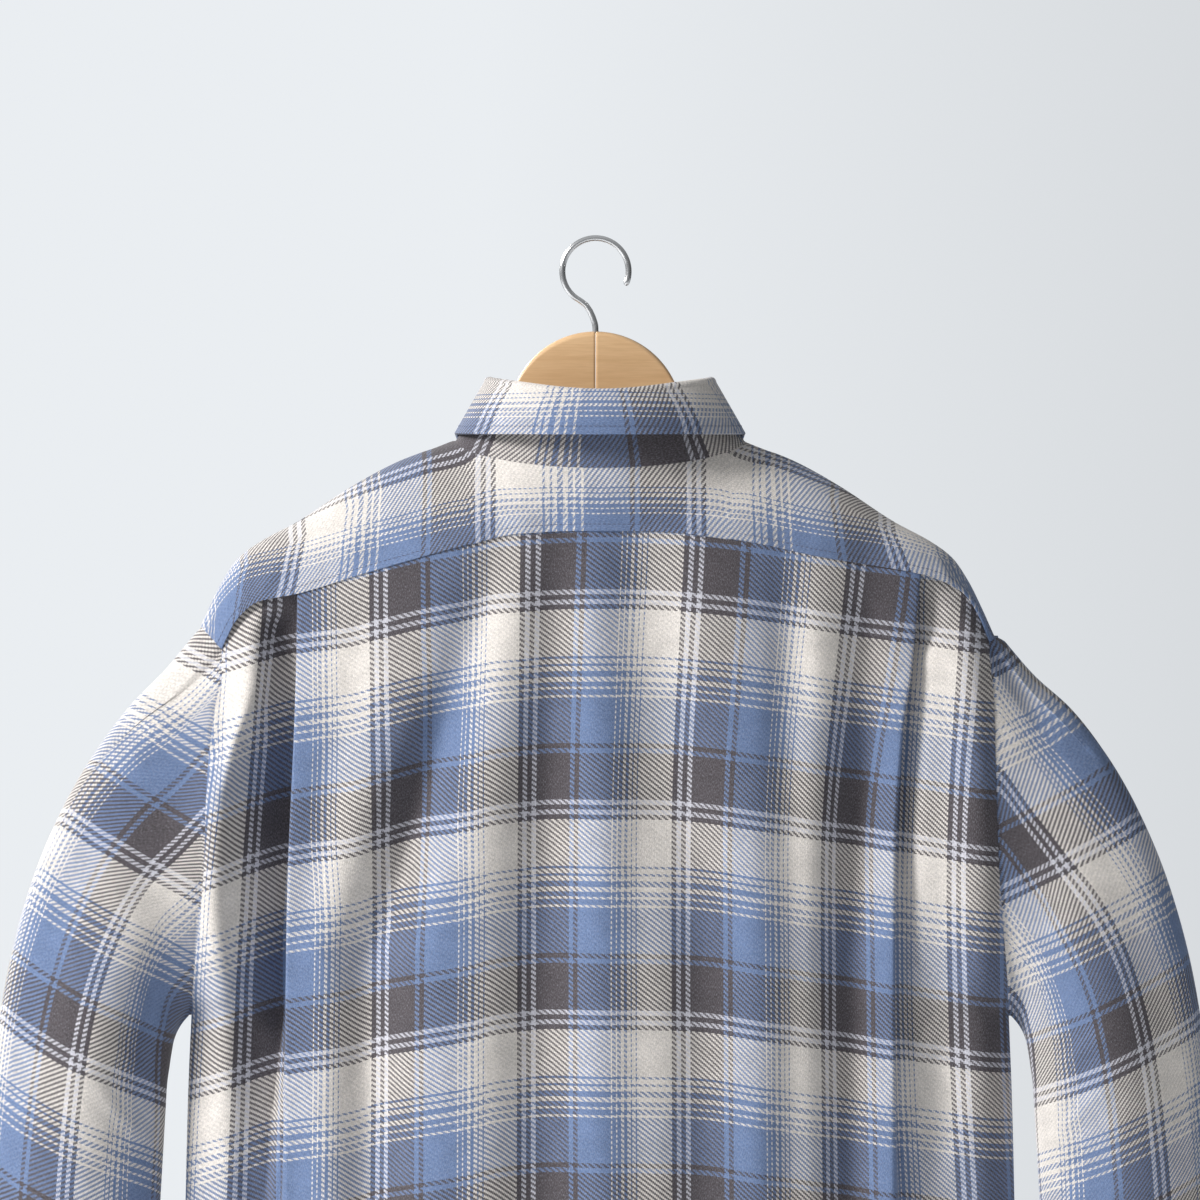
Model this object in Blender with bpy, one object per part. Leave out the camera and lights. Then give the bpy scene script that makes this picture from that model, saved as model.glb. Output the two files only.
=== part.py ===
"""A flannel shirt, buttoned up, hanging on a two-piece wooden hanger.

+Z is up, the shirt's front faces -Y and its back +Y, so the wearer's left is +X. The origin is the
inside top of the hanger's hook, where a rail carries it. Sizes are in millimetres, times MM.
"""
import math

import bmesh
import bpy
import numpy as np
from mathutils import Vector

MM = 0.001

# Cloth
CLOTH = 1.4  # one layer of brushed twill
DOUBLE = 2.0  # two layers with an interlining: collar, stand and cuffs
GAP = 0.3  # between pieces at a seam, measured at their corners
SEAM = 0.45  # between the middles of two walls that meet edge to edge
SHIRT_X = -3.0  # the shirt hangs this far off the hanger's middle

# Heights
HEM_Z = -905.0
HEM_RISE = 50.0  # the hem curves up towards the side seams
HEM_HALF = 284.0  # the shirt's half width at the hem
UNDERARM_Z = -515.0
SIDE_SHAPE = 2.4  # how square the torso's section is; 2 is an ellipse
CROWD = 1.35  # how much closer the stations of a seam lie towards the armhole

# Neck seam and collar fold: half widths, depths to the back and the front, heights and how the
# drop towards the back and the front gathers in the middle
NECK = {"x": 95.0, "back": 44.0, "front": 50.0, "side": -133.0,
        "back_drop": 15.0, "front_drop": 52.0, "back_bend": 1.2, "front_bend": 1.35}
FOLD = {"x": 74.0, "back": 54.0, "front": 68.0, "side": -89.0,
        "back_drop": 6.0, "front_drop": 66.0, "back_bend": 4.0, "front_bend": 1.35}
COLLAR_HEIGHT = 53.0  # from the neck seam to the fold at the back
STAND_SHARE = 0.64  # of the way from the neck seam to the collar's fold
STAND_LAP = 1.9  # each end's move out of the ring where they lap
STAND_LAP_ANGLE = math.radians(9)  # from the middle of the front to each end
STAND_LAP_FADE = 0.7  # radians
STAND_LIFT = (0.5, 2.0)  # over the neck seam at the back, and at the sides and the front
ROLL = 3.2  # radius of the collar's fold
LEAF_END = math.radians(81)  # on the fold, from the shoulder to the leaf's front edge
LEAF_BULGE = 3.0
LEAF_EDGE_BACK = {"x": 96.0, "y": 66.0, "z": -128.0, "rise": 2.6}
YOKE_CORNER = math.radians(25)  # on the neck ring, where the yoke's back meets its shoulders
FRONT_CORNER = math.radians(-36)  # on the neck ring, where the yoke's front seam meets it
SHOULDER_SHAPE = 1.25  # how round the yoke goes over the shoulder

# Sleeves and cuffs
RIPPLE = 0.06  # the sleeve's long soft folds, as a share of its half widths
RIPPLES = 5
CUFF_BUTTON = math.radians(50)  # where the ends lap, from the outer side towards the back
CUFF_LAP_ANGLE = math.radians(24)
CUFF_LAP = 1.7
CUFF_LAP_FADE = 1.2  # radians

# Front closing
PLACKET_OUT = -17.0  # the left front's edge, past the middle
PLACKET_IN = 18.0
LAP = 1.5  # each front's move out of the shared surface where they lap
BUTTON_R = 5.6
BUTTON_T = 2.6
BUTTON_PROFILE = ((0.55, 0.62), (0.72, 1.0), (0.9, 1.0), (1.0, 0.55), (0.94, 0.1), (0.7, 0.0))
BUTTON_PITCH = 88.0
BUTTON_TOP_Z = -262.0
BUTTONS = 6

# Hanger
APEX_R = 58.0
APEX_CENTRE_Z = -118.0
WOOD_HALF = 6.0
WOOD_ROUND = 3.5
WIRE_R = 2.0
HOOK_R = 22.0  # to the wire's middle
HOOK_CENTRE_Z = -20.0
HOOK_START = math.radians(-62)  # where the loop leaves the stem
HOOK_END = math.radians(205)
STEM_END_Z = -90.0
STEM = ((0, STEM_END_Z), (0, -76), (0, -62), (0.6, -54), (3.6, -46.5))
BORE_SPARE = 2.0  # under the stem's end
BORE_LENGTH = 80.0  # past the top of the wood
TIP_X = 216.0  # where the arm's end starts to taper
TIP_TAPER = 2.5


def table(columns, *rows):
    """Named columns of a short table; the first column rises."""
    return dict(zip(columns.split(), np.array(rows, float).T))


def read(rows, column, at, by="z"):
    """The column's value at a value of another one, on a smooth curve that never overshoots."""
    x, y = rows[by], rows[column]
    step = np.diff(x)
    rise = np.diff(y) / step
    slope = np.concatenate([rise[:1], np.zeros(len(y) - 2), rise[-1:]])
    for i in range(1, len(y) - 1):
        if rise[i - 1] * rise[i] > 0:
            slope[i] = 2 * rise[i - 1] * rise[i] / (rise[i - 1] + rise[i])
    at = np.clip(np.asarray(at, float), x[0], x[-1])
    i = np.clip(np.searchsorted(x, at, side="right") - 1, 0, len(x) - 2)
    t = (at - x[i]) / step[i]
    start, end = y[i], y[i + 1]
    lead, tail = slope[i] * step[i], slope[i + 1] * step[i]
    return (start * (1 + 2 * t) * (1 - t) ** 2 + lead * t * (1 - t) ** 2
            + end * t * t * (3 - 2 * t) + tail * t * t * (t - 1))


# The torso's half width at the armhole and side seam, by height
EDGE = {
    "left": table("z x", (-905, HEM_HALF), (-700, 278), (-515, 272), (-412, 262), (-354, 260),
                  (-308, 255), (-288, 250.5), (-270, 251), (-255, 259), (-240, 262)),
    "right": table("z x", (-905, HEM_HALF), (-700, 278), (-515, 272), (-412, 264), (-354, 262),
                   (-308, 261), (-288, 259.5), (-265, 258), (-250, 260), (-240, 262)),
    "front": table("z x", (-905, HEM_HALF), (-700, 278), (-515, 272), (-460, 248), (-410, 233),
                   (-360, 230), (-310, 236), (-280, 246), (-250, 258), (-240, 262)),
}
# How far the armhole's edge lies from the middle plane, how deep the torso is and how round its sides
DEPTH = table("z edge back front power", (-905, 0.6, 56, 52, 0.75), (-700, 0.6, 62, 58, 0.75),
              (-515, 0.6, 62, 60, 0.75), (-500, 12, 62, 60, 0.85), (-460, 24, 61, 60, 1),
              (-400, 29, 60, 60, 1), (-320, 26, 57, 60, 1), (-288, 21, 56, 59, 1),
              (-270, 15, 55, 58, 1), (-190, 15, 52, 51, 1), (-140, 15, 43, 44, 1))
# The seam between yoke and back, from the right armhole to the left one
BACK_SEAM = table("x z", (-258, -265), (-250.5, -246), (-239, -231.5), (-213, -220), (-178, -213.5),
                  (-144, -207.5), (-92, -196.5), (-40, -190.5), (5, -189.8), (50, -191.5),
                  (98, -202.5), (156, -219), (200, -232.5), (226, -238), (240, -249.5), (251, -270))
# The seam between yoke and front, from the neck to the armhole
FRONT_SEAM = table("x z y", (77, -159, 29.3), (100, -173, 36), (140, -198, 42), (180, -222, 40),
                   (215, -244, 32), (236, -262, 23), (246, -280, 17.5))
# The shoulder's ridge, which lies on the hanger and then falls past its end
RIDGE = table("x z", (95, -133), (105, -137), (130, -146.5), (147, -155), (165, -165.5), (198, -187),
              (223, -201.5), (236, -212), (245, -226), (252, -240), (259, -255))
# Soft folds, by their place under the yoke and lower down, their depths and width
BACK_FOLDS = table("x_top x_low top low hem width", (-170, -177, 2.0, 9.0, 13.0, 17.0),
                   (-117, -107, 1.5, 4.0, 8.0, 13.0), (-15, -28, 2.0, 5.0, 9.0, 13.0),
                   (32, 40, 2.5, 7.5, 11.0, 16.0), (98, 124, 2.5, 8.5, 12.0, 16.0))
FRONT_FOLDS = table("x_top x_low top low hem width", (-182, -190, 1.5, 8.0, 12.0, 18.0),
                    (-104, -96, 1.0, 5.0, 9.0, 16.0), (92, 104, 1.0, 6.0, 9.0, 17.0),
                    (170, 184, 1.5, 8.0, 12.0, 18.0))
FOLD_TOP_Z, FOLD_LOW_Z = -257.0, -398.0
FOLD_SPAN = (-0.4, 2.2)  # how far past these heights the folds go on leaning
# Knife pleats: place of the fold, the angle that the cloth turns, its radius and the tuck's length
PLEAT = {
    "left": table("z x turn radius tuck", (-905, 214, 30, 14, 20), (-700, 212, 62, 6, 9),
                  (-580, 210, 105, 3, 6), (-480, 208, 158, 1.9, 6), (-410, 206, 176, 1.6, 8),
                  (-300, 201.5, 180, 1.35, 12), (-230, 200, 180, 1.15, 15)),
    "right": table("z x turn radius tuck", (-905, 202, 30, 14, 20), (-700, 198, 62, 6, 9),
                   (-580, 196, 105, 3, 6), (-480, 195, 158, 1.9, 6), (-410, 195, 176, 1.5, 8),
                   (-325, 200, 180, 1.4, 12), (-285, 206, 180, 1.35, 14), (-220, 212, 180, 1.15, 18)),
}
# Sleeve sections from the armhole to the cuff: innermost and outermost points, and half the depth
SLEEVE = table("row ix iz ox oz half", (0, 273.8, -515, 259.4, -255, 29),
               (1, 280, -522, 284, -272, 33), (2, 284, -528, 311, -301, 37),
               (3, 287, -536, 336, -338, 40), (4, 289, -546, 359, -383, 42),
               (5, 291, -560, 379, -434, 43), (6, 292, -580, 394, -492, 43),
               (7, 293, -606, 404, -556, 42), (8, 295, -650, 411, -628, 41),
               (9, 298, -702, 414, -698, 39), (10, 302, -756, 413, -756, 35),
               (11, 305, -785, 411, -785, 31))
CUFF = table("z ix ox half", (-850, 308, 410, 27), (-785.3, 305, 411, 30.5))
# The collar leaf's edge from the shoulder to its point, by the angle on the neck ring
LEAF_POINT = table("a x y z", (0, 96, 0, -128), (30, 88, -45, -152), (60, 62, -78, -196),
                   (81, 38, -92, -223))
# The wooden arm past its round top: upper and lower edges
ARM = table("x top low", (0, -60, -150), (56, -103, -156), (66, -122, -160), (80, -133, -165),
            (100, -139.5, -172), (132, -149.9, -184), (165, -167.7, -201), (198, -189.2, -219),
            (216, -200, -228), (224, -210, -227))
ARM_STATIONS = (GAP / 2, 12, 24, 34, 42, 48, 52, 56, 60, 66, 74, 86, 105, 132, 165, 198, 214, 221, 224)


def clear_scene():
    for old in list(bpy.data.objects):
        bpy.data.objects.remove(old, do_unlink=True)


def material(name, colour, roughness, metallic=0.0):
    made = bpy.data.materials.new(name)
    made.use_nodes = True
    shader = made.node_tree.nodes["Principled BSDF"]
    shader.inputs["Base Color"].default_value = (*colour, 1)
    shader.inputs["Roughness"].default_value = roughness
    shader.inputs["Metallic"].default_value = metallic
    return made


def add(name, points, faces, finish):
    """An object from points in millimetres."""
    mesh = bpy.data.meshes.new(name)
    mesh.from_pydata([tuple(c * MM for c in p) for p in points], [], faces)
    mesh.update()
    mesh.shade_smooth()
    made = bpy.data.objects.new(name, mesh)
    bpy.context.collection.objects.link(made)
    mesh.materials.append(finish)
    return made


def outward(made):
    """Turns a closed mesh's faces outwards."""
    shape = bmesh.new()
    shape.from_mesh(made.data)
    bmesh.ops.recalc_face_normals(shape, faces=shape.faces)
    shape.to_mesh(made.data)
    shape.free()


def grid_faces(rows, columns, closed=False, start=0):
    """Quads of a grid that is stored row by row; closed joins the last column to the first."""
    across = columns if closed else columns - 1
    return [(start + r * columns + c, start + r * columns + (c + 1) % columns,
             start + (r + 1) * columns + (c + 1) % columns, start + (r + 1) * columns + c)
            for r in range(rows - 1) for c in range(across)]


def cloth(name, points, faces, wall, finish):
    """A wall of even thickness about a surface."""
    made = add(name, points, faces, finish)
    solid = made.modifiers.new("wall", "SOLIDIFY")
    solid.thickness = wall * MM
    solid.offset = 0
    solid.use_even_offset = True
    return made


def sheet(name, grid, wall, finish, closed=False):
    """A wall from a grid of points, shaped rows by columns by 3."""
    rows, columns = grid.shape[:2]
    return cloth(name, grid.reshape(-1, 3), grid_faces(rows, columns, closed), wall, finish)


def shifted(points):
    """Shirt points in the hanger's frame."""
    return points + np.array([SHIRT_X, 0, 0])


def smooth_step(t):
    t = np.clip(t, 0, 1)
    return t * t * (3 - 2 * t)


# ---------------------------------------------------------------- torso

def folds(rows, x, z):
    """How far the soft folds push the cloth in."""
    low = np.clip((FOLD_TOP_Z - z) / (FOLD_TOP_Z - FOLD_LOW_Z), *FOLD_SPAN)
    down = smooth_step((FOLD_LOW_Z - z) / (FOLD_LOW_Z - HEM_Z))
    depth = 0.0
    for x_top, x_low, top, deep, hem, width in zip(*rows.values()):
        middle = x_top + (x_low - x_top) * low
        size = top + (deep - top) * smooth_step(low) + (hem - deep) * down
        depth = depth + size * np.exp(-((x - middle) / width) ** 2)
    return depth


def torso_y(x, z, half, side, soft):
    """Distance of the back or the front from the middle plane."""
    edge, deep = read(DEPTH, "edge", z), read(DEPTH, side, z)
    share = (1 - np.clip(np.abs(x) / half, 0, 1) ** SIDE_SHAPE) ** read(DEPTH, "power", z)
    return edge + (deep - edge) * share - folds(soft, x, z) * smooth_step(share * 2)


def back_y(x, z):
    """The back's depth behind the middle plane."""
    half = np.where(x >= 0, read(EDGE["left"], "x", z), read(EDGE["right"], "x", z))
    return torso_y(x, z, half, "back", BACK_FOLDS)


def front_y(x, z):
    """The front's depth before the middle plane, as a negative number."""
    return -torso_y(x, z, read(EDGE["front"], "x", z), "front", FRONT_FOLDS)


def stations(first, last, count=12):
    """Places along a shoulder's seam from the armhole inwards, closer where the seam turns."""
    return last + (first - last) * (1 - np.linspace(0, 1, count + 1) ** CROWD)


YOKE_X = NECK["x"] * math.cos(YOKE_CORNER)  # half width of the yoke's strip under the collar
BACK_STATIONS = np.concatenate([stations(BACK_SEAM["x"][0], -YOKE_X),
                                np.linspace(-YOKE_X, YOKE_X, 13)[1:-1],
                                stations(BACK_SEAM["x"][-1], YOKE_X)[::-1]])
FRONT_STATIONS = stations(FRONT_SEAM["x"][-1], FRONT_SEAM["x"][0])[::-1]


def seam_line(rows, places, column, x):
    """A seam as the straight stitches between its stations."""
    return np.interp(x, places, read(rows, column, places, "x"))


def below_seam(rows, places, x):
    """Height of a panel's edge under a seam; the gap grows where a steep seam bends the wall."""
    x = np.clip(x, places[0], places[-1])
    low, high = np.clip(x - 2, places[0], None), np.clip(x + 2, None, places[-1])
    rise = seam_line(rows, places, "z", high) - seam_line(rows, places, "z", low)
    slope = rise / (high - low)
    gap = SEAM * (1 + 1.5 * np.clip(np.abs(slope), 0, 1))
    return seam_line(rows, places, "z", x) - gap * np.hypot(1, slope)


def hem_z(x):
    return HEM_Z + HEM_RISE * np.clip(np.abs(x) / HEM_HALF, 0, 1) ** 3


def row_z(top, bottom, f):
    """Height of a row: f runs from -1 at the hem over 0 at the underarm to 1 at the top seam."""
    return UNDERARM_Z + (top - UNDERARM_Z) * f if f >= 0 else UNDERARM_Z - (bottom - UNDERARM_Z) * f


def pleat_path(turn, radius, tuck, arc_points):
    """A knife pleat's section: distance towards the middle and height, which ends at the top layer."""
    turn = math.radians(turn)
    angles = np.linspace(0, turn, arc_points)
    first = np.stack([radius * np.sin(angles), radius * (1 - np.cos(angles))], 1)
    lean = np.array([math.cos(turn), math.sin(turn)])
    start = first[-1] + lean * tuck
    back = angles[::-1]
    second = start + np.stack([radius * (math.sin(turn) - np.sin(back)),
                               radius * (np.cos(back) - math.cos(turn))], 1)
    path = np.concatenate([first, second])
    return path - path[-1]


def pleat_row(side, z, arc_points):
    """A pleat's points at one height, as x and y from the outer side towards the middle."""
    sign = 1 if side == "left" else -1
    rows = PLEAT[side]
    turn, radius, tuck = (float(read(rows, c, z)) for c in ("turn", "radius", "tuck"))
    edge = float(read(rows, "x", z)) - radius * math.sin(math.radians(min(turn, 90)))
    path = pleat_path(turn, radius, tuck, arc_points)
    slope = float(back_y(sign * (edge + 1), z) - back_y(sign * (edge - 1), z)) / 2
    x = edge - path[:, 0] / math.hypot(1, slope)
    dy = (back_y(sign * (x + 1), z) - back_y(sign * (x - 1), z)) / 2
    length = np.hypot(1, dy)
    return sign * (x - path[:, 1] * dy / length), back_y(sign * x, z) + path[:, 1] / length


def back_grid(fs, side_n=5, arc_n=5, centre_n=28):
    """The back panel with its two pleats, row by row, from the left side to the right one."""
    grid = []
    for f in fs:
        parts = {}
        for side, sign in (("left", 1), ("right", -1)):
            seam_x = sign * float(PLEAT[side]["x"][-1])
            fold_z = float(row_z(seam_line(BACK_SEAM, BACK_STATIONS, "z", seam_x), hem_z(seam_x), f))
            x, y = pleat_row(side, fold_z, arc_n)
            end = float(BACK_SEAM["x"][-1] if sign > 0 else BACK_SEAM["x"][0])
            edge_z = float(row_z(read(BACK_SEAM, "z", end, "x"), hem_z(HEM_HALF), f))
            edge_x = sign * float(read(EDGE[side], "x", edge_z))
            share = np.linspace(0, 1, side_n + 1)[:-1] ** 1.6
            wide = edge_x + (x[0] - edge_x) * share
            tall = edge_z + (fold_z - edge_z) * share
            recess = y[0] - float(back_y(x[0], fold_z))
            plain = back_y(wide, tall) + recess * smooth_step(share * 1.35)
            parts[side] = (np.concatenate([wide, x]), np.concatenate([plain, y]))
        left, right = parts["left"], parts["right"]
        middle = np.linspace(left[0][-1], right[0][-1], centre_n + 1)[1:-1]
        x = np.concatenate([left[0], middle, right[0][::-1]])
        z = row_z(below_seam(BACK_SEAM, BACK_STATIONS, x), hem_z(x), f)
        y = np.concatenate([left[1], back_y(middle, z[len(left[0]):-len(right[0])]), right[1][::-1]])
        grid.append(np.stack([x, y, z], 1))
    return np.array(grid)


def neck(angle, ring=NECK):
    """A point of the neck seam or of the collar's fold; 90 degrees is the middle of the back."""
    angle = np.asarray(angle, float)
    s = np.sin(angle)
    at_back = s >= 0
    deep = np.where(at_back, ring["back"], ring["front"])
    dip = np.abs(s) ** np.where(at_back, ring["back_bend"], ring["front_bend"])
    drop = np.where(at_back, ring["back_drop"], ring["front_drop"])
    return np.stack([ring["x"] * np.cos(angle), deep * s, ring["side"] - drop * dip], -1)


def front_top(x):
    """Depth and height of a front's top edge: the yoke's seam, then the neck."""
    reach = np.abs(x)
    angle = -np.arccos(np.clip(reach / NECK["x"], 0, 1))
    ring = neck(angle)
    on_seam = reach >= FRONT_SEAM["x"][0]
    y = np.where(on_seam, -seam_line(FRONT_SEAM, FRONT_STATIONS, "y", reach), ring[..., 1])
    z = np.where(on_seam, below_seam(FRONT_SEAM, FRONT_STATIONS, reach), ring[..., 2] - SEAM * 1.2)
    return y, z


def front_points(x_top, x, f, lap):
    """Points of a front's surface; lap is -1 for the front that lies outside and 1 for the other."""
    top_y, top_z = front_top(x_top)
    z = row_z(top_z, hem_z(x), f)
    y = front_y(x, z) + (top_y - front_y(x_top, top_z)) * max(f, 0) ** 2
    y = y + lap * LAP * (1 - smooth_step((np.abs(x) - PLACKET_IN - 2) / 30))
    return np.stack([x, y, z], -1)


def front_grid(sign, fs, seam_n=10, neck_n=6):
    """A front, from its armhole and side seam to its free edge."""
    corner = FRONT_SEAM["x"][0]
    free = PLACKET_OUT * sign
    seam_x, end_z = FRONT_SEAM["x"][-1], FRONT_SEAM["z"][-1]
    share = np.linspace(0, 1, seam_n + 1) ** 1.7
    tops = np.concatenate([seam_x + (corner - seam_x) * share,
                           np.linspace(corner, sign * free, neck_n + 1)[1:]])
    grid = []
    for f in fs:
        edge = float(read(EDGE["front"], "x", float(row_z(end_z, hem_z(HEM_HALF), f))))
        reach = edge + (sign * free - edge) * (seam_x - tops) / (seam_x - sign * free)
        grid.append(front_points(sign * tops, sign * reach, f, -sign))
    return np.array(grid)


def placket_grid(fs):
    """The band along the left front's edge, on top of it."""
    x = np.linspace(PLACKET_OUT, PLACKET_IN, 4)
    grid = [front_points(x, x, min(f, 0.995), -1) for f in fs]
    return np.array(grid) + np.array([0, -(CLOTH + GAP), 0])


# ---------------------------------------------------------------- yoke

def yoke_profile(back, ridge, front, angle):
    """A point on the way from the back seam over the shoulder's ridge to the front seam."""
    rise = abs(math.sin(angle)) ** SHOULDER_SHAPE
    reach = abs(math.cos(angle)) ** SHOULDER_SHAPE
    foot = back if math.cos(angle) > 0 else front
    point = foot + (ridge - foot) * rise
    return np.array([point[0], foot[1] * reach, point[2]])


def shoulder_grid(sign, across_n, back_n, front_n):
    """One shoulder of the yoke: rows from the back seam over the ridge to the front seam."""
    seam_end = abs(float(BACK_SEAM["x"][-1] if sign > 0 else BACK_SEAM["x"][0]))
    rows = back_n + front_n + 1
    angles = np.concatenate([np.linspace(0, 90, back_n + 1), np.linspace(90, 180, front_n + 1)[1:]])
    corner_row = back_n // 2 + 1
    share = np.linspace(0, 1, across_n + 1)
    grid = np.zeros((rows, across_n + 1, 3))
    for c, t in enumerate(share):
        out = 1 - t ** CROWD
        bx = YOKE_X + (seam_end - YOKE_X) * out
        bz = float(read(BACK_SEAM, "z", sign * bx, "x"))
        back = np.array([bx, float(back_y(sign * bx, bz)), bz])
        if c == 0:
            back[1] = float(read(DEPTH, "edge", bz))
        rx = RIDGE["x"][0] + (RIDGE["x"][-1] - RIDGE["x"][0]) * out
        ridge = np.array([rx, 0, float(read(RIDGE, "z", rx + sign * SHIRT_X, "x"))])
        fx = FRONT_SEAM["x"][0] + (FRONT_SEAM["x"][-1] - FRONT_SEAM["x"][0]) * out
        fy, fz = (float(read(FRONT_SEAM, c, fx, "x")) for c in ("y", "z"))
        front = np.array([fx, -fy, fz])
        for r, angle in enumerate(angles):
            grid[r, c] = yoke_profile(back, ridge, front, math.radians(angle))
    turns = np.interp(np.arange(rows), [corner_row, back_n, rows - 1], [YOKE_CORNER, 0, FRONT_CORNER])
    ring = neck(turns)
    inner = ring.copy()
    for r in range(corner_row):
        inner[r] = grid[0, -1] + (ring[corner_row] - grid[0, -1]) * r / corner_row
    grid += (inner - grid[:, -1])[:, None, :] * (share[None, :, None] ** 3)
    grid[:, :, 0] *= sign
    return grid, corner_row


def yoke_mesh(across_n=12, back_n=5, front_n=4, centre_n=12):
    """Points and faces of the yoke: two shoulders and the strip under the collar between them."""
    left, corner_row = shoulder_grid(1, across_n, back_n, front_n)
    right, _ = shoulder_grid(-1, across_n, back_n, front_n)
    points, faces = [], []
    for grid, flip in ((left, False), (right, True)):
        start = len(points)
        points.extend(grid.reshape(-1, 3))
        quads = grid_faces(*grid.shape[:2], start=start)
        faces.extend([q[::-1] for q in quads] if flip else quads)
    columns = across_n + 1
    strip = []
    angles = np.linspace(YOKE_CORNER, math.pi - YOKE_CORNER, centre_n + 1)
    seam_x = np.linspace(left[0, -1, 0], right[0, -1, 0], centre_n + 1)
    for c in range(centre_n + 1):
        if c in (0, centre_n):
            start = 0 if c == 0 else left.shape[0] * columns
            strip.append([start + r * columns + across_n for r in range(corner_row + 1)])
            continue
        z = float(read(BACK_SEAM, "z", seam_x[c], "x"))
        foot = np.array([seam_x[c], float(back_y(seam_x[c], z)), z])
        top = neck(angles[c])
        strip.append(list(range(len(points), len(points) + corner_row + 1)))
        points.extend(foot + (top - foot) * r / corner_row for r in range(corner_row + 1))
    for a, b in zip(strip, strip[1:]):
        faces.extend((a[r], b[r], b[r + 1], a[r + 1]) for r in range(corner_row))
    return np.array(points), faces


# ---------------------------------------------------------------- collar

def collar_point(angle, share):
    """A point of the collar's inner surface: 0 is the neck seam and 1 the fold."""
    low, high = neck(angle), neck(angle, FOLD)
    return low + (high - low) * np.asarray(share)[..., None]


def ring_out(angle, ring):
    """The level direction that points out of a ring."""
    deep = np.where(np.sin(angle) >= 0, ring["back"], ring["front"])
    way = np.stack([np.cos(angle) / ring["x"], np.sin(angle) / deep, np.zeros_like(angle)], -1)
    return way / np.linalg.norm(way, axis=-1, keepdims=True)


def stand_grid(along_n=42, rows=4):
    """The collar stand, a band round the neck whose left end laps over its right one."""
    angle = np.linspace(-math.pi / 2 - STAND_LAP_ANGLE, 1.5 * math.pi + STAND_LAP_ANGLE, along_n + 1)
    left_end = 1 - smooth_step((angle - angle[0]) / STAND_LAP_FADE)
    right_end = 1 - smooth_step((angle[-1] - angle) / STAND_LAP_FADE)
    # The band starts on the left, so its first end lies outside.
    push = STAND_LAP * (left_end - right_end)
    lift = np.interp(np.sin(angle), [0, 1], STAND_LIFT[::-1]) / COLLAR_HEIGHT
    grid = []
    for r in range(rows):
        share = lift + (STAND_SHARE - lift) * r / (rows - 1)
        grid.append(collar_point(angle, share) + ring_out(angle, NECK) * push[:, None])
    return np.array(grid)


def leaf_edge(angle):
    """The collar leaf's outer edge: round the back, then down to the two points in front."""
    s, edge = np.sin(angle), LEAF_EDGE_BACK
    back = np.stack([edge["x"] * np.cos(angle), edge["y"] * s, edge["z"] + edge["rise"] * np.abs(s)], -1)
    reach = np.degrees(np.arcsin(np.clip(-s, 0, 1)))
    front = np.stack([read(LEAF_POINT, c, reach, "a") for c in "xyz"], -1)
    front[..., 0] *= np.sign(np.cos(angle))
    return np.where((s >= 0)[..., None], back, front)


def leaf_grid(along_n=38, fall_n=4, turn_n=4):
    """The collar leaf: up from the stand, over the fold and down to its free edge."""
    angle = np.linspace(-LEAF_END, math.pi + LEAF_END, along_n + 1)
    way, up = ring_out(angle, FOLD), np.array([0.0, 0.0, 1.0])
    # The seam is raised towards both ends, where the fold comes close to the stand.
    from_end = LEAF_END + math.pi / 2 - np.abs(angle - math.pi / 2)
    at_end = np.clip(1 - from_end / 0.35, 0, 1)
    seam = collar_point(angle, STAND_SHARE + (SEAM + 1.3 * at_end) / COLLAR_HEIGHT)
    middle = collar_point(angle, np.full_like(angle, 1 - ROLL / COLLAR_HEIGHT)) + way * ROLL
    rows = [seam]
    for t in np.linspace(180, 0, turn_n + 1):
        rows.append(middle + ROLL * (math.cos(math.radians(t)) * way + math.sin(math.radians(t)) * up))
    edge, top = leaf_edge(angle), rows[-1]
    for t in np.linspace(0, 1, fall_n + 1)[1:]:
        rows.append(top + (edge - top) * t + way * (LEAF_BULGE * math.sin(math.pi * t)))
    return np.array(rows)


# ---------------------------------------------------------------- sleeves and cuffs

def armhole(sign, fs, yoke):
    """The armhole's points, up the back edge and down the front one, and the ways out of its edge."""
    up = [f for f in fs if f >= 0]
    back = back_grid(up)[:, ::sign]
    front = front_grid(sign, up)[::-1]
    ring = np.concatenate([back[:, 0], yoke[1:-1, 0], front[:-1, 0]])
    ways = ring - np.concatenate([back[:, 1], yoke[1:-1, 1], front[:-1, 1]])
    return ring, ways / np.linalg.norm(ways, axis=1, keepdims=True)


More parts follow.
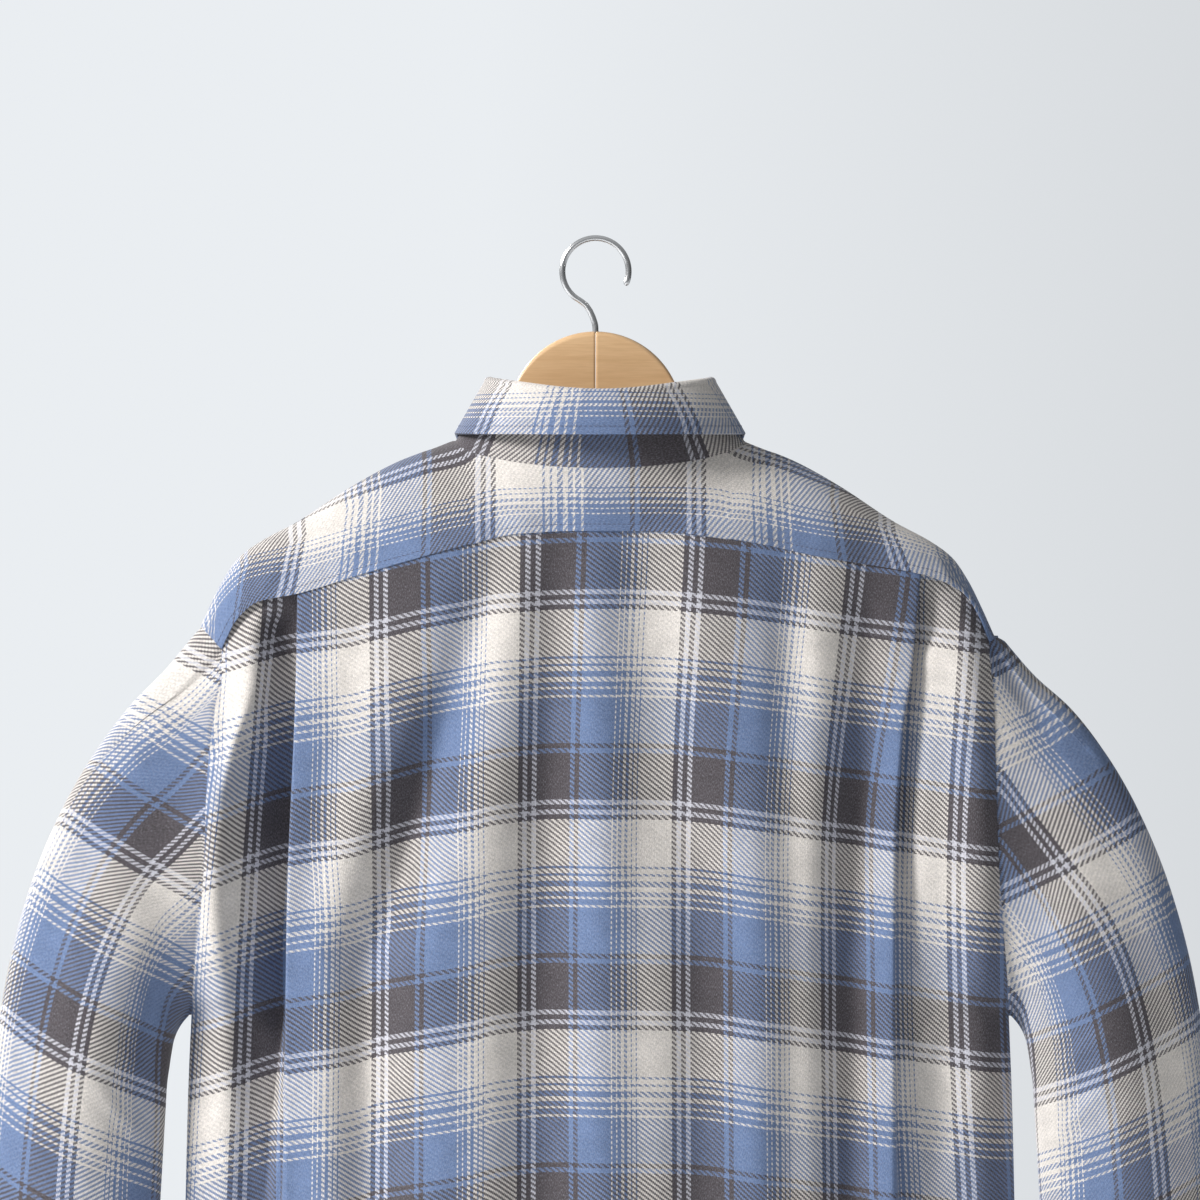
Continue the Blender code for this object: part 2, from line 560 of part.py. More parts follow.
def sleeve_grid(sign, ring, ways):
    """The sleeve, from the armhole's ring down to the cuff."""
    inner = np.array([SLEEVE["ix"][0], 0, SLEEVE["iz"][0]])
    axis = np.array([SLEEVE["ox"][0], 0, SLEEVE["oz"][0]]) - inner
    flat = ring * np.array([sign, 1, 1])
    height = (flat - inner) @ axis / (axis @ axis)
    own = np.arctan2(flat[:, 1] / SLEEVE["half"][0], 2 * height - 1)
    own = np.unwrap(own - own[0])
    even = np.linspace(0, 2 * math.pi, len(ring) + 1)[:-1] * np.sign(own[-1])
    # The first ring is set off from the panels: along their surfaces, and outwards at the underarm.
    near = np.clip(1 - height * 6, 0, 1)[:, None]
    gap = SEAM * (2.0 + 0.8 * np.clip(1 - height * 2, 0, 1))[:, None]
    seam = flat + gap * ways * [sign, 1, 1] * (1 - near) + np.array([1.6, 0, 0]) * near
    seam = seam - (inner + axis * height[:, None])
    grid = []
    for row in range(len(SLEEVE["row"])):
        low = np.array([SLEEVE["ix"][row], 0, SLEEVE["iz"][row]])
        high = np.array([SLEEVE["ox"][row], 0, SLEEVE["oz"][row]])
        t = row / (len(SLEEVE["row"]) - 1)
        angle = own + (even - own) * smooth_step(t * 1.6)
        depth = RIPPLE * math.sin(math.pi * min(t * 1.15, 1))
        ripple = 1 + depth * np.cos(RIPPLES * angle + 0.6 + 1.6 * t)
        share = (1 - np.cos(angle) * ripple) / 2
        side = np.sin(angle) * ripple * SLEEVE["half"][row] * np.sign(own[-1])
        shape = low + (high - low) * share[:, None] + np.array([0, 1, 0]) * side[:, None]
        keep = 1 - smooth_step(t * 3.4)
        own_shape = low + (high - low) * height[:, None] + seam
        grid.append(shape * (1 - keep) + own_shape * keep)
    return np.array(grid) * np.array([sign, 1, 1])


def cuff_grid(sign, along_n=26, rows=3):
    """A cuff, buttoned: a band whose outer end laps over its inner one at the back."""
    first = CUFF_BUTTON - CUFF_LAP_ANGLE / 2
    angle = np.linspace(first, first + 2 * math.pi + CUFF_LAP_ANGLE, along_n + 1)
    outer_end = 1 - smooth_step((angle - angle[0]) / CUFF_LAP_FADE)
    inner_end = 1 - smooth_step((angle[-1] - angle) / CUFF_LAP_FADE)
    push = CUFF_LAP * (outer_end - inner_end)
    grid = []
    for z in np.linspace(CUFF["z"][1], CUFF["z"][0], rows):
        ix, ox, half = (float(read(CUFF, c, z)) for c in ("ix", "ox", "half"))
        x = (ix + ox) / 2 + ((ox - ix) / 2 + push) * np.cos(angle)
        grid.append(np.stack([sign * x, (half + push) * np.sin(angle), np.full_like(x, z)], 1))
    return np.array(grid)


# ---------------------------------------------------------------- buttons

def button(name, place, way, finish, sides=14):
    """A four-hole shirt button's disc: a dished face inside a rounded rim."""
    points = [(0, 0, BUTTON_T * BUTTON_PROFILE[0][1]), (0, 0, 0)]
    for reach, height in BUTTON_PROFILE:
        for k in range(sides):
            turn = 2 * math.pi * k / sides
            r = BUTTON_R * reach
            points.append((r * math.cos(turn), r * math.sin(turn), BUTTON_T * height))
    rings = len(BUTTON_PROFILE)
    faces = grid_faces(rings, sides, closed=True, start=2)
    for k in range(sides):
        faces.append((0, 2 + k, 2 + (k + 1) % sides))
        last = 2 + (rings - 1) * sides
        faces.append((1, last + (k + 1) % sides, last + k))
    made = add(name, points, faces, finish)
    outward(made)
    made.location = Vector(place) * MM
    made.rotation_mode = "QUATERNION"
    made.rotation_quaternion = Vector(way).to_track_quat("Z", "Y")


def front_buttons(finish):
    """The buttons down the middle of the placket."""
    middle = (PLACKET_OUT + PLACKET_IN) / 2
    for k in range(BUTTONS):
        z = BUTTON_TOP_Z - BUTTON_PITCH * k
        y = placket_y(middle, z)
        slope = (placket_y(middle, z + 5) - placket_y(middle, z - 5)) / 10
        way = np.array([0, -1, slope]) / math.hypot(1, slope)
        seat = np.array([middle, y, z]) + way * (CLOTH / 2 + GAP)
        button(f"button_{k + 1}", shifted(seat), way, finish)


def placket_y(x, z):
    """Depth of the placket's surface at a height."""
    top_y, top_z = front_top(np.array([x]))
    f = max((z - UNDERARM_Z) / (float(top_z[0]) - UNDERARM_Z), 0)
    y = front_y(np.array([x]), np.array([z])) + (top_y - front_y(np.array([x]), top_z)) * f ** 2
    return float(y[0]) - LAP - CLOTH - GAP


def small_buttons(finish):
    """The stand's button at the throat, and one on each cuff's lap."""
    angle = -math.pi / 2
    at = collar_point(np.array([angle]), np.array([0.36]))[0]
    above = collar_point(np.array([angle]), np.array([0.46]))[0]
    rise = above - at
    way = np.array([0, -rise[2], rise[1]]) / math.hypot(rise[1], rise[2])
    reach = STAND_LAP + DOUBLE / 2 + GAP
    button("button_collar", shifted(at + way * reach), way, finish)
    z = (CUFF["z"][0] + CUFF["z"][1]) / 2
    ix, ox, half = (float(read(CUFF, c, z)) for c in ("ix", "ox", "half"))
    c, s = math.cos(CUFF_BUTTON), math.sin(CUFF_BUTTON)
    way = np.array([c * 2 / (ox - ix), s / half, 0])
    way = way / np.linalg.norm(way)
    at = np.array([(ix + ox) / 2 + (ox - ix) / 2 * c, half * s, z])
    at = at + way * (CUFF_LAP + DOUBLE / 2 + GAP + 0.5)
    for name, sign in (("left", 1), ("right", -1)):
        side = np.array([sign, 1, 1])
        button(f"button_cuff_{name}", shifted(at * side), way * side, finish)


# ---------------------------------------------------------------- hanger

def arm_section(x):
    """A rounded upright section of a hanger half."""
    if x < ARM["x"][1]:
        top = APEX_CENTRE_Z + math.sqrt(APEX_R ** 2 - x * x)
    else:
        top = float(read(ARM, "top", x, "x"))
    low = float(read(ARM, "low", x, "x"))
    half = WOOD_HALF - TIP_TAPER * max(x - TIP_X, 0) / (ARM["x"][-1] - TIP_X)
    round_ = min(WOOD_ROUND, half - 0.5, (top - low) / 2 - 0.5)
    points = []
    for sy, sz, first in ((1, 1, 0), (-1, 1, 90), (-1, -1, 180), (1, -1, 270)):
        cy, cz = sy * (half - round_), (top - round_ if sz > 0 else low + round_)
        for turn in (0, 45, 90):
            a = math.radians(first + turn)
            points.append((x, cy + round_ * math.cos(a), cz + round_ * math.sin(a)))
    return points


def hanger_half(name, sign, finish):
    """One wooden half: sections from the joint in the middle to the arm's rounded end."""
    sections = [arm_section(x) for x in ARM_STATIONS]
    count = len(sections[0])
    points = [(sign * x, y, z) for section in sections for x, y, z in section]
    faces = grid_faces(len(sections), count, closed=True)
    last = (len(sections) - 1) * count
    faces.append(tuple(range(count)))
    faces.append(tuple(reversed(range(last, last + count))))
    made = add(name, points, faces, finish)
    outward(made)
    bore = bpy.data.objects.new(name + "_bore", bpy.data.meshes.new(name + "_bore"))
    bpy.context.collection.objects.link(bore)
    shape = bmesh.new()
    bore_r = (WIRE_R + GAP) * MM
    bmesh.ops.create_cone(shape, cap_ends=True, segments=16, radius1=bore_r, radius2=bore_r,
                          depth=BORE_LENGTH * MM)
    shape.to_mesh(bore.data)
    shape.free()
    bore.location = (0, 0, (STEM_END_Z - BORE_SPARE + BORE_LENGTH / 2) * MM)
    bore.hide_render = True
    bore.display_type = "WIRE"
    cut = made.modifiers.new("bore", "BOOLEAN")
    cut.operation = "DIFFERENCE"
    cut.object = bore
    cut.solver = "EXACT"
    made.data.shade_flat()


def hook(finish, sides=10):
    """A question mark of round wire: stem, bend and loop."""
    turns = np.linspace(HOOK_START, HOOK_END, 26)
    loop = np.stack([HOOK_R * np.cos(turns), HOOK_CENTRE_Z + HOOK_R * np.sin(turns)], 1)
    route = np.concatenate([np.array(STEM, float), loop])
    ways = np.gradient(route, axis=0)
    ways /= np.linalg.norm(ways, axis=1, keepdims=True)
    points = []
    for (x, z), (wx, wz) in zip(route, ways):
        for k in range(sides):
            a = 2 * math.pi * k / sides
            out, level = WIRE_R * math.cos(a), WIRE_R * math.sin(a)
            points.append((x + out * wz, level, z - out * wx))
    faces = grid_faces(len(route), sides, closed=True)
    last = (len(route) - 1) * sides
    faces.append(tuple(range(sides)))
    faces.append(tuple(reversed(range(last, last + sides))))
    made = add("hook", points, faces, finish)
    outward(made)
    made.data.set_sharp_from_angle(angle=math.radians(40))


# ---------------------------------------------------------------- the whole

def build():
    clear_scene()
    body = material("flannel_body", (0.42, 0.43, 0.47), 0.95)
    yoke_cloth = material("flannel_crosswise", (0.50, 0.52, 0.58), 0.95)
    shell = material("button_shell", (0.30, 0.27, 0.25), 0.35)
    wood = material("pale_wood", (0.56, 0.36, 0.19), 0.5)
    steel = material("chromed_wire", (0.75, 0.75, 0.76), 0.2, 1.0)

    fs = np.concatenate([np.linspace(-1, 0, 7)[:-1], np.linspace(0, 1, 9)])
    sheet("back", shifted(back_grid(fs)), CLOTH, body)
    sheet("front_left", shifted(front_grid(1, fs)), CLOTH, body)
    sheet("front_right", shifted(front_grid(-1, fs)), CLOTH, body)
    sheet("placket", shifted(placket_grid(fs)), CLOTH, body)
    points, faces = yoke_mesh()
    cloth("yoke", shifted(points), faces, CLOTH, yoke_cloth)
    sheet("collar_stand", shifted(stand_grid()), DOUBLE, yoke_cloth)
    sheet("collar_leaf", shifted(leaf_grid()), DOUBLE, yoke_cloth)
    for name, sign in (("left", 1), ("right", -1)):
        shoulder, _ = shoulder_grid(sign, 12, 5, 4)
        sleeve = sleeve_grid(sign, *armhole(sign, fs, shoulder))
        sheet(f"sleeve_{name}", shifted(sleeve), CLOTH, body, closed=True)
        sheet(f"cuff_{name}", shifted(cuff_grid(sign)), DOUBLE, body)
    front_buttons(shell)
    small_buttons(shell)
    hanger_half("hanger_left", 1, wood)
    hanger_half("hanger_right", -1, wood)
    hook(steel)


build()
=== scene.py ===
# %% [markdown]
# A plaid flannel shirt, buttoned up, hangs on a wooden hanger with its back to the camera. The packed
# CAD model gives the frame: +Z is up, the shirt's front faces -Y, and the origin is the inside top of
# the hook. Each sewn piece is made again here as a fine cloth shell on its solid's form, with deeper
# folds and small creases.

# %% Load the fixed frame
import math

import bmesh
import bpy
import numpy as np
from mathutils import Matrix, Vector


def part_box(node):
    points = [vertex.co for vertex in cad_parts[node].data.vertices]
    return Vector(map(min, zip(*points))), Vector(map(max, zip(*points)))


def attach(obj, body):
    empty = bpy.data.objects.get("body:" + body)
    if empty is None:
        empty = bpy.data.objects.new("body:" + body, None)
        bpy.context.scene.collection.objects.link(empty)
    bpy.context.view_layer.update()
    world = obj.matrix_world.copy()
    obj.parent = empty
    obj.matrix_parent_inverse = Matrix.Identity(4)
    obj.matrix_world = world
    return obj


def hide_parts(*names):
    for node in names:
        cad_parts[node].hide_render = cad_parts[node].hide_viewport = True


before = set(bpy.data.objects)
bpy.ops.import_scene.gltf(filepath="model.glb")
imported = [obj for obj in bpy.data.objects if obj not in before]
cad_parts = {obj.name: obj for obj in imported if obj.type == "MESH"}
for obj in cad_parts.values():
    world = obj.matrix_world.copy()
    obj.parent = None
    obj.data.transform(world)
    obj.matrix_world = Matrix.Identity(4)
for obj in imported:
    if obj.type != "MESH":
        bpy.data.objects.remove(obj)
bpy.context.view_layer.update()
BODY = "root"
print("frame nodes:", len(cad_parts))

# %% [markdown]
# Lengths below are millimetres, because a shirt is cut in them, and a piece is scaled to metres when
# its mesh is made. The shirt hangs a little off the hanger's middle.

# %% Units and short tables
MM = 0.001
SHIRT_X = -3.0
SIDES = (("left", 1), ("right", -1))  # the wearer's, with the sign of x


def table(columns, *rows):
    """Named columns of a short table; the first column rises."""
    return dict(zip(columns.split(), np.array(rows, float).T))


def read(rows, column, at, by="z"):
    """The column's value at a value of another one, on a smooth curve that never overshoots."""
    x, y = rows[by], rows[column]
    step = np.diff(x)
    rise = np.diff(y) / step
    slope = np.concatenate([rise[:1], np.zeros(len(y) - 2), rise[-1:]])
    for i in range(1, len(y) - 1):
        if rise[i - 1] * rise[i] > 0:
            slope[i] = 2 * rise[i - 1] * rise[i] / (rise[i - 1] + rise[i])
    at = np.clip(np.asarray(at, float), x[0], x[-1])
    i = np.clip(np.searchsorted(x, at, side="right") - 1, 0, len(x) - 2)
    t = (at - x[i]) / step[i]
    lead, tail = slope[i] * step[i], slope[i + 1] * step[i]
    return (y[i] * (1 + 2 * t) * (1 - t) ** 2 + lead * t * (1 - t) ** 2
            + y[i + 1] * t * t * (3 - 2 * t) + tail * t * t * (t - 1))


def read_all(rows, columns, at, by="z"):
    """Several columns' values at one place."""
    return [float(read(rows, column, at, by)) for column in columns.split()]


def smooth_step(t):
    t = np.clip(t, 0, 1)
    return t * t * (3 - 2 * t)


def unit(v):
    return v / np.maximum(np.linalg.norm(v, axis=-1, keepdims=True), 1e-9)


# %% [markdown]
# Shader maths reads best as plain arithmetic. One small class wraps a node's output and adds Math
# nodes when it meets +, -, * or /, and one method adds every other node.

# %% A wire between shader nodes, and a material under construction
class Wire:
    """An output socket whose arithmetic adds Math nodes."""

    def __init__(self, finish, socket):
        self.finish, self.socket = finish, socket

    def math(self, operation, *values):
        return self.finish.node("ShaderNodeMath", {"operation": operation}, dict(enumerate(values)))

    def __add__(self, other):
        return self.math("ADD", self, other)

    def __sub__(self, other):
        return self.math("SUBTRACT", self, other)

    def __rsub__(self, other):
        return self.math("SUBTRACT", other, self)

    def __mul__(self, other):
        return self.math("MULTIPLY", self, other)

    def __truediv__(self, other):
        return self.math("DIVIDE", self, other)

    def __lt__(self, other):
        return self.math("LESS_THAN", self, other)

    def floor(self):
        return self.math("FLOOR", self)

    def fract(self):
        return self.math("FRACT", self)

    __radd__ = __add__
    __rmul__ = __mul__


class Finish:
    """One material and its Principled shader."""

    def __init__(self, name, **plain):
        self.material = bpy.data.materials.new(name)
        self.material.use_nodes = True
        self.tree = self.material.node_tree
        self.shader = self.tree.nodes["Principled BSDF"]
        for socket, value in plain.items():
            self.shader.inputs[socket.replace("_", " ")].default_value = value

    def feed(self, socket, value):
        if isinstance(value, Wire):
            self.tree.links.new(value.socket, socket)
        else:
            socket.default_value = value

    def node(self, kind, settings=None, inputs=None, output=0):
        made = self.tree.nodes.new(kind)
        for key, value in (settings or {}).items():
            if key == "stops":
                self.fill_ramp(made.color_ramp, value)
            else:
                setattr(made, key, value)
        for key, value in (inputs or {}).items():
            self.feed(made.inputs[key], value)
        return Wire(self, made.outputs[output])

    def fill_ramp(self, ramp, stops):
        ramp.interpolation = "CONSTANT"
        while len(ramp.elements) > 1:
            ramp.elements.remove(ramp.elements[-1])
        ramp.elements[0].position = stops[0][0]
        ramp.elements[0].color = stops[0][1]
        for place, colour in stops[1:]:
            ramp.elements.new(place).color = colour

    def mix(self, factor, first, second, blend="MIX"):
        made = self.tree.nodes.new("ShaderNodeMix")
        made.data_type = "RGBA"
        made.blend_type = blend
        for socket, value in zip((made.inputs[0], made.inputs[6], made.inputs[7]), (factor, first, second)):
            self.feed(socket, value)
        return Wire(self, made.outputs[2])

    def noise(self, vector, scale, detail=2.0, roughness=0.5, dims="3D"):
        return self.node("ShaderNodeTexNoise", {"noise_dimensions": dims},
                         {"Vector": vector, "Scale": scale, "Detail": detail, "Roughness": roughness})

    def bump(self, height, strength, distance):
        made = self.node("ShaderNodeBump", None,
                         {"Height": height, "Strength": strength, "Distance": distance})
        self.feed(self.shader.inputs["Normal"], made)


def srgb(r, g, b):
    """Linear colour of a screen colour from 0 to 255."""
    def linear(c):
        c = c / 255
        return c / 12.92 if c <= 0.04045 else ((c + 0.055) / 1.055) ** 2.4
    return (linear(r), linear(g), linear(b), 1.0)


# %% [markdown]
# The cloth is an ordinary check, woven from cream, blue and charcoal yarn. A weaver writes it as a
# sett: so many threads of each colour in order, first along the warp and then along the weft. A
# constant colour ramp holds each sett, because its steps are as sharp as the stripes.

# %% The sett of the check
YARN = {"W": srgb(236, 229, 222), "B": srgb(112, 134, 174), "N": srgb(82, 76, 79), "L": srgb(214, 213, 222)}
WARP = "W21 N3 L3 N3 L3 N21 B3 N3 B20 W1 B2 W1 B2 W2 B2 W2 B1 W2 B1"
WEFT = "W36 B2 W4 B2 W4 B4 W4 B4 W2 B4 W2 B36 N4 B4 N36 L4 N4 L4 N4"
VEIL = srgb(160, 160, 172)  # the mixed fluff of all the yarns
WARP_PITCH, WEFT_PITCH = 1.134, 0.849  # from thread to thread
WARP_COUNT, WEFT_COUNT = 96, 164
WARP_REPEAT = WARP_PITCH * WARP_COUNT


def stripes(sett, count):
    """Ramp stops of a sett."""
    stops, at = [], 0
    for word in sett.split():
        stops.append((at / count, YARN[word[0]]))
        at += int(word[1:])
    print("sett of", at, "threads in", len(stops), "stripes")
    return stops


# %% [markdown]
# Flannel is a two-and-two twill that is brushed afterwards. A thread goes over two and under two, one
# place further along in each row, which draws the diagonal lines where two colours cross. Brushing
# blurs the threads' edges and mixes a little of each colour into the other, so fine noise moves the
# edges and the two colours never show quite pure.

# %% The flannel
def flannel(name, nap=0.80, fuzz=0.24):
    """Brushed twill on the piece's own cloth coordinates: x across the warp, y along it, in metres."""
    cloth = Finish(name, Roughness=0.92, Sheen_Weight=0.22, Sheen_Roughness=0.45, Specular_IOR_Level=0.25)
    place = cloth.node("ShaderNodeUVMap", {"uv_map": "cloth"})
    split = cloth.node("ShaderNodeSeparateXYZ", None, {0: place})
    x, y = split, Wire(cloth, split.socket.node.outputs[1])
    fibre = cloth.noise(place, 1500.0, 2.0, 0.6, "2D")
    fibre_2 = cloth.noise(cloth.node("ShaderNodeVectorMath", {"operation": "ADD"},
                                     {0: place, 1: (3.7, 1.9, 0.0)}), 1500.0, 2.0, 0.6, "2D")
    i = x / (WARP_PITCH * MM) + (fibre - 0.5) * (2 * fuzz)
    j = y / (WEFT_PITCH * MM) + (fibre_2 - 0.5) * (2 * fuzz)
    warp = cloth.node("ShaderNodeValToRGB", {"stops": stripes(WARP, WARP_COUNT)},
                      {0: (i / WARP_COUNT).fract()})
    weft = cloth.node("ShaderNodeValToRGB", {"stops": stripes(WEFT, WEFT_COUNT)},
                      {0: (j / WEFT_COUNT).fract()})
    over = ((i.floor() - j.floor()) / 4).fract() < 0.5
    colour = cloth.mix(over * nap + (1 - nap) / 2, weft, warp)
    # A float is round across its thread: its profile feeds the bump and also paints shade on the float's
    # edges.
    warp_round = 1 - (i.fract() - 0.5) * (i.fract() - 0.5) * 4
    weft_round = 1 - (j.fract() - 0.5) * (j.fract() - 0.5) * 4
    round_ = over * warp_round + (1 - over) * weft_round
    yarn = cloth.node("ShaderNodeTexWhiteNoise", {"noise_dimensions": "2D"},
                      {"Vector": cloth.node("ShaderNodeCombineXYZ", None, {0: i.floor(), 1: j.floor()})})
    pill = cloth.noise(place, 60.0, 3.0, 0.55, "2D")
    fleck = cloth.noise(place, 620.0, 3.0, 0.7, "2D")
    # Brushed hairs lie along the warp: they veil the dark yarn and shade the pale one.
    brushed = cloth.node("ShaderNodeVectorMath", {"operation": "MULTIPLY"}, {0: place, 1: (1.0, 0.32, 1.0)})
    hair = cloth.noise(brushed, 1900.0, 3.0, 0.65, "2D")
    colour = cloth.mix((hair - 0.46) * 1.3, colour, VEIL)
    # Fibre, hair, yarn, pill and fleck noise vary the cloth's own tone; round_ paints shade at each float's
    # edges, and over paints the warp floats lighter than the weft floats as painted relief shade of the
    # twill.
    light = (0.76 + round_ * 0.18 + over * 0.08 + (fibre - 0.5) * 0.36 + (hair - 0.5) * 0.50
             + (yarn - 0.5) * 0.12 + (pill - 0.5) * 0.26 + (fleck - 0.5) * 0.55)
    shade = cloth.node("ShaderNodeCombineColor", None, {0: light, 1: light, 2: light})
    cloth.feed(cloth.shader.inputs["Base Color"], cloth.mix(1.0, colour, shade, "MULTIPLY"))
    cloth.bump(round_ * 0.6 + fibre * 0.5 + hair * 0.6 + fleck * 0.5, 0.55, 0.0004)
    return cloth.material


body_flannel = flannel("flannel_lengthwise")
cross_flannel = flannel("flannel_crosswise")

# %% [markdown]
# The other finishes are thread, wood, wire and button. Wood shows long grain along each half of the
# hanger, with fine pores, under a thin lacquer.


# %% Thread, wood, wire and button finishes
def thread_finish(name, colour):
    thread = Finish(name, Roughness=0.7, Sheen_Weight=0.1)
    spot = thread.node("ShaderNodeTexCoord", None, None, 3)
    twist = thread.noise(spot, 2500.0)
    thread.feed(thread.shader.inputs["Base Color"],
                thread.mix(twist, tuple(c * 0.7 for c in colour[:3]) + (1.0,), colour))
    thread.bump(twist, 0.3, 0.0002)
    return thread.material


def wood_finish(name):
    wood = Finish(name, Roughness=0.42, Coat_Weight=0.25, Coat_Roughness=0.2)
    spot = wood.node("ShaderNodeTexCoord", None, None, 3)
    long_way = wood.node("ShaderNodeMapping", None, {"Vector": spot, "Rotation": (0.0, 0.32, 0.0),
                                                      "Scale": (7.0, 60.0, 70.0)})
    rings = wood.noise(long_way, 1.2, 5.0, 0.6)
    fine_way = wood.node("ShaderNodeMapping", None, {"Vector": spot, "Rotation": (0.0, 0.32, 0.0),
                                                      "Scale": (60.0, 900.0, 1100.0)})
    pores = wood.noise(fine_way, 1.0, 3.0, 0.6)
    pale, deep = srgb(240, 202, 156), srgb(206, 162, 114)
    grain = wood.mix(rings * 1.6 - 0.3, deep, pale)
    wood.feed(wood.shader.inputs["Base Color"],
              wood.mix((0.62 - pores) * 0.7, grain, srgb(184, 140, 94)))
    wood.feed(wood.shader.inputs["Roughness"], 0.36 + pores * 0.2)
    wood.bump(pores, 0.12, 0.0003)
    return wood.material


def wire_finish(name):
    wire = Finish(name, Metallic=1.0, Base_Color=(0.78, 0.78, 0.79, 1.0))
    spot = wire.node("ShaderNodeTexCoord", None, None, 3)
    drawn = wire.noise(spot, 700.0, 3.0)
    wire.feed(wire.shader.inputs["Roughness"], 0.14 + drawn * 0.16)
    wire.bump(drawn, 0.05, 0.0001)
    return wire.material


def button_finish(name):
    horn = Finish(name, Coat_Weight=0.3, Coat_Roughness=0.12)
    spot = horn.node("ShaderNodeTexCoord", None, None, 3)
    cloud = horn.noise(spot, 260.0, 4.0, 0.6)
    horn.feed(horn.shader.inputs["Base Color"], horn.mix(cloud, srgb(52, 44, 42), srgb(122, 104, 94)))
    horn.feed(horn.shader.inputs["Roughness"], 0.25 + cloud * 0.15)
    return horn.material


pale_wood = wood_finish("lacquered_wood")
plated_wire = wire_finish("plated_wire")
button_horn = button_finish("button_horn")
seam_thread = thread_finish("seam_thread", srgb(104, 112, 138))
button_thread = thread_finish("button_thread", srgb(70, 66, 72))

# %% [markdown]
# Each piece of cloth is first a grid of points on its solid's surface. The grid carries cloth
# coordinates in a UV map, so the check runs as the weaver and the cutter placed it: lengthwise in the
# body and sleeves, crosswise in the yoke and collar. Solidify then gives it two faces and a rim.


# %% From a grid of points to a cloth shell
def link_object(made):
    bpy.context.collection.objects.link(made)


def plain_mesh(blank, name):
    """The mesh that a blank's modifiers make; the blank goes."""
    mesh = bpy.data.meshes.new_from_object(blank.evaluated_get(bpy.context.evaluated_depsgraph_get()))
    bpy.data.objects.remove(blank, do_unlink=True)
    mesh.name = name
    return mesh


def stands_for(node):
    """A piece takes the place of a CAD node, which is hidden."""
    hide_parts(node)


def cloth_piece(name, points, faces, loops_uv, wall, material):
    """A closed shell of even thickness from a surface in millimetres."""
    mesh = bpy.data.meshes.new(name)
    mesh.from_pydata(((points + [SHIRT_X, 0, 0]) * MM).tolist(), [], faces)
    layer = mesh.uv_layers.new(name="cloth")
    layer.data.foreach_set("uv", (np.asarray(loops_uv, np.float32) * MM).ravel())
    mesh.materials.append(material)
    blank = bpy.data.objects.new(name + "_blank", mesh)
    link_object(blank)
    solid = blank.modifiers.new("wall", "SOLIDIFY")
    solid.thickness, solid.offset = wall * MM, 0.0
    shell = plain_mesh(blank, name)
    shell.shade_smooth()
    shell.set_sharp_from_angle(angle=math.radians(62))
    piece = bpy.data.objects.new(name, shell)
    link_object(piece)
    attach(piece, BODY)
    shell.calc_loop_triangles()
    print(f"{name}: {len(shell.loop_triangles)} triangles")
    return piece


def quads(rows, columns, start=0):
    """Quads of a grid that is stored row by row."""
    r, c = np.meshgrid(np.arange(rows - 1), np.arange(columns - 1), indexing="ij")
    first = (start + r * columns + c).ravel()
    return np.stack([first, first + 1, first + columns + 1, first + columns], 1)


def grid_piece(name, grid, uv, wall, material, closed=False, flip=False):
    """A shell from a grid; closed joins the last column of points to the first."""
    rows, columns = uv.shape[:2]
    corners = quads(rows, columns)
    if flip:
        corners = corners[:, ::-1]
    loops = uv.reshape(-1, 2)[corners.ravel()]
    if closed:
        row, column = np.divmod(corners, columns)
        corners = row * (columns - 1) + column % (columns - 1)
    return cloth_piece(name, grid.reshape(-1, 3), corners.tolist(), loops, wall, material)


def arc(points, axis=0):
    """Running length along an axis of a grid of points."""
    step = np.linalg.norm(np.diff(points, axis=axis), axis=-1)
    start = np.zeros_like(np.take(step, [0], axis=axis))
    return np.concatenate([start, np.cumsum(step, axis=axis)], axis=axis)


def rise_normals(grid):
    """Unit normals of a grid, by its differences along rows and columns."""
    return unit(np.cross(np.gradient(grid, axis=1), np.gradient(grid, axis=0)))


def creases(rows, x, z):
    """Height that creases add: each is a ridge on a line from x1 z1 to x2 z2 that fades at its ends."""
    height = 0.0
    for x1, z1, x2, z2, size, width in zip(*rows.values()):
        dx, dz = x2 - x1, z2 - z1
        length = math.hypot(dx, dz)
        along = ((x - x1) * dx + (z - z1) * dz) / length ** 2
        off = ((x - x1) * dz - (z - z1) * dx) / length
        fade = smooth_step(1.6 * along) * smooth_step(1.6 * (1 - along))
        height = height + size * np.exp(-(off / width) ** 2) * fade
    return height


# %% [markdown]
# The torso is one round form with an armhole's edge, a depth and a squareness at each height. Long
# soft folds run down it: gravity pulls the cloth straight below the points where the hanger and the
# seams hold it.

# %% Sizes of the torso
CLOTH, DOUBLE = 1.2, 2.0  # walls of single and of double cloth
HEM_Z, HEM_RISE, HEM_HALF, UNDERARM_Z = -905.0, 50.0, 284.0, -515.0
SIDE_SHAPE, CROWD = 2.4, 1.35  # squareness at the sides; crowding of the yoke's columns at the armhole
EDGE = {
    "left": table("z x", (-905, HEM_HALF), (-700, 278), (-515, 272), (-412, 262), (-354, 260),
                  (-308, 255), (-288, 250.5), (-270, 251), (-255, 259), (-240, 262)),
    "right": table("z x", (-905, HEM_HALF), (-700, 278), (-515, 272), (-412, 264), (-354, 262),
                   (-308, 261), (-288, 259.5), (-265, 258), (-250, 260), (-240, 262)),
    "front": table("z x", (-905, HEM_HALF), (-700, 278), (-515, 272), (-460, 248), (-410, 233),
                   (-360, 230), (-310, 236), (-280, 246), (-250, 258), (-240, 262)),
}
DEPTH = table("z edge back front power", (-905, 0.6, 56, 52, 0.75), (-700, 0.6, 62, 58, 0.75),
              (-515, 0.6, 62, 60, 0.75), (-500, 12, 62, 60, 0.85), (-460, 24, 61, 60, 1),
              (-400, 29, 60, 60, 1), (-320, 26, 57, 60, 1), (-288, 21, 56, 59, 1),
              (-270, 15, 55, 58, 1), (-190, 15, 52, 51, 1), (-140, 15, 43, 44, 1))
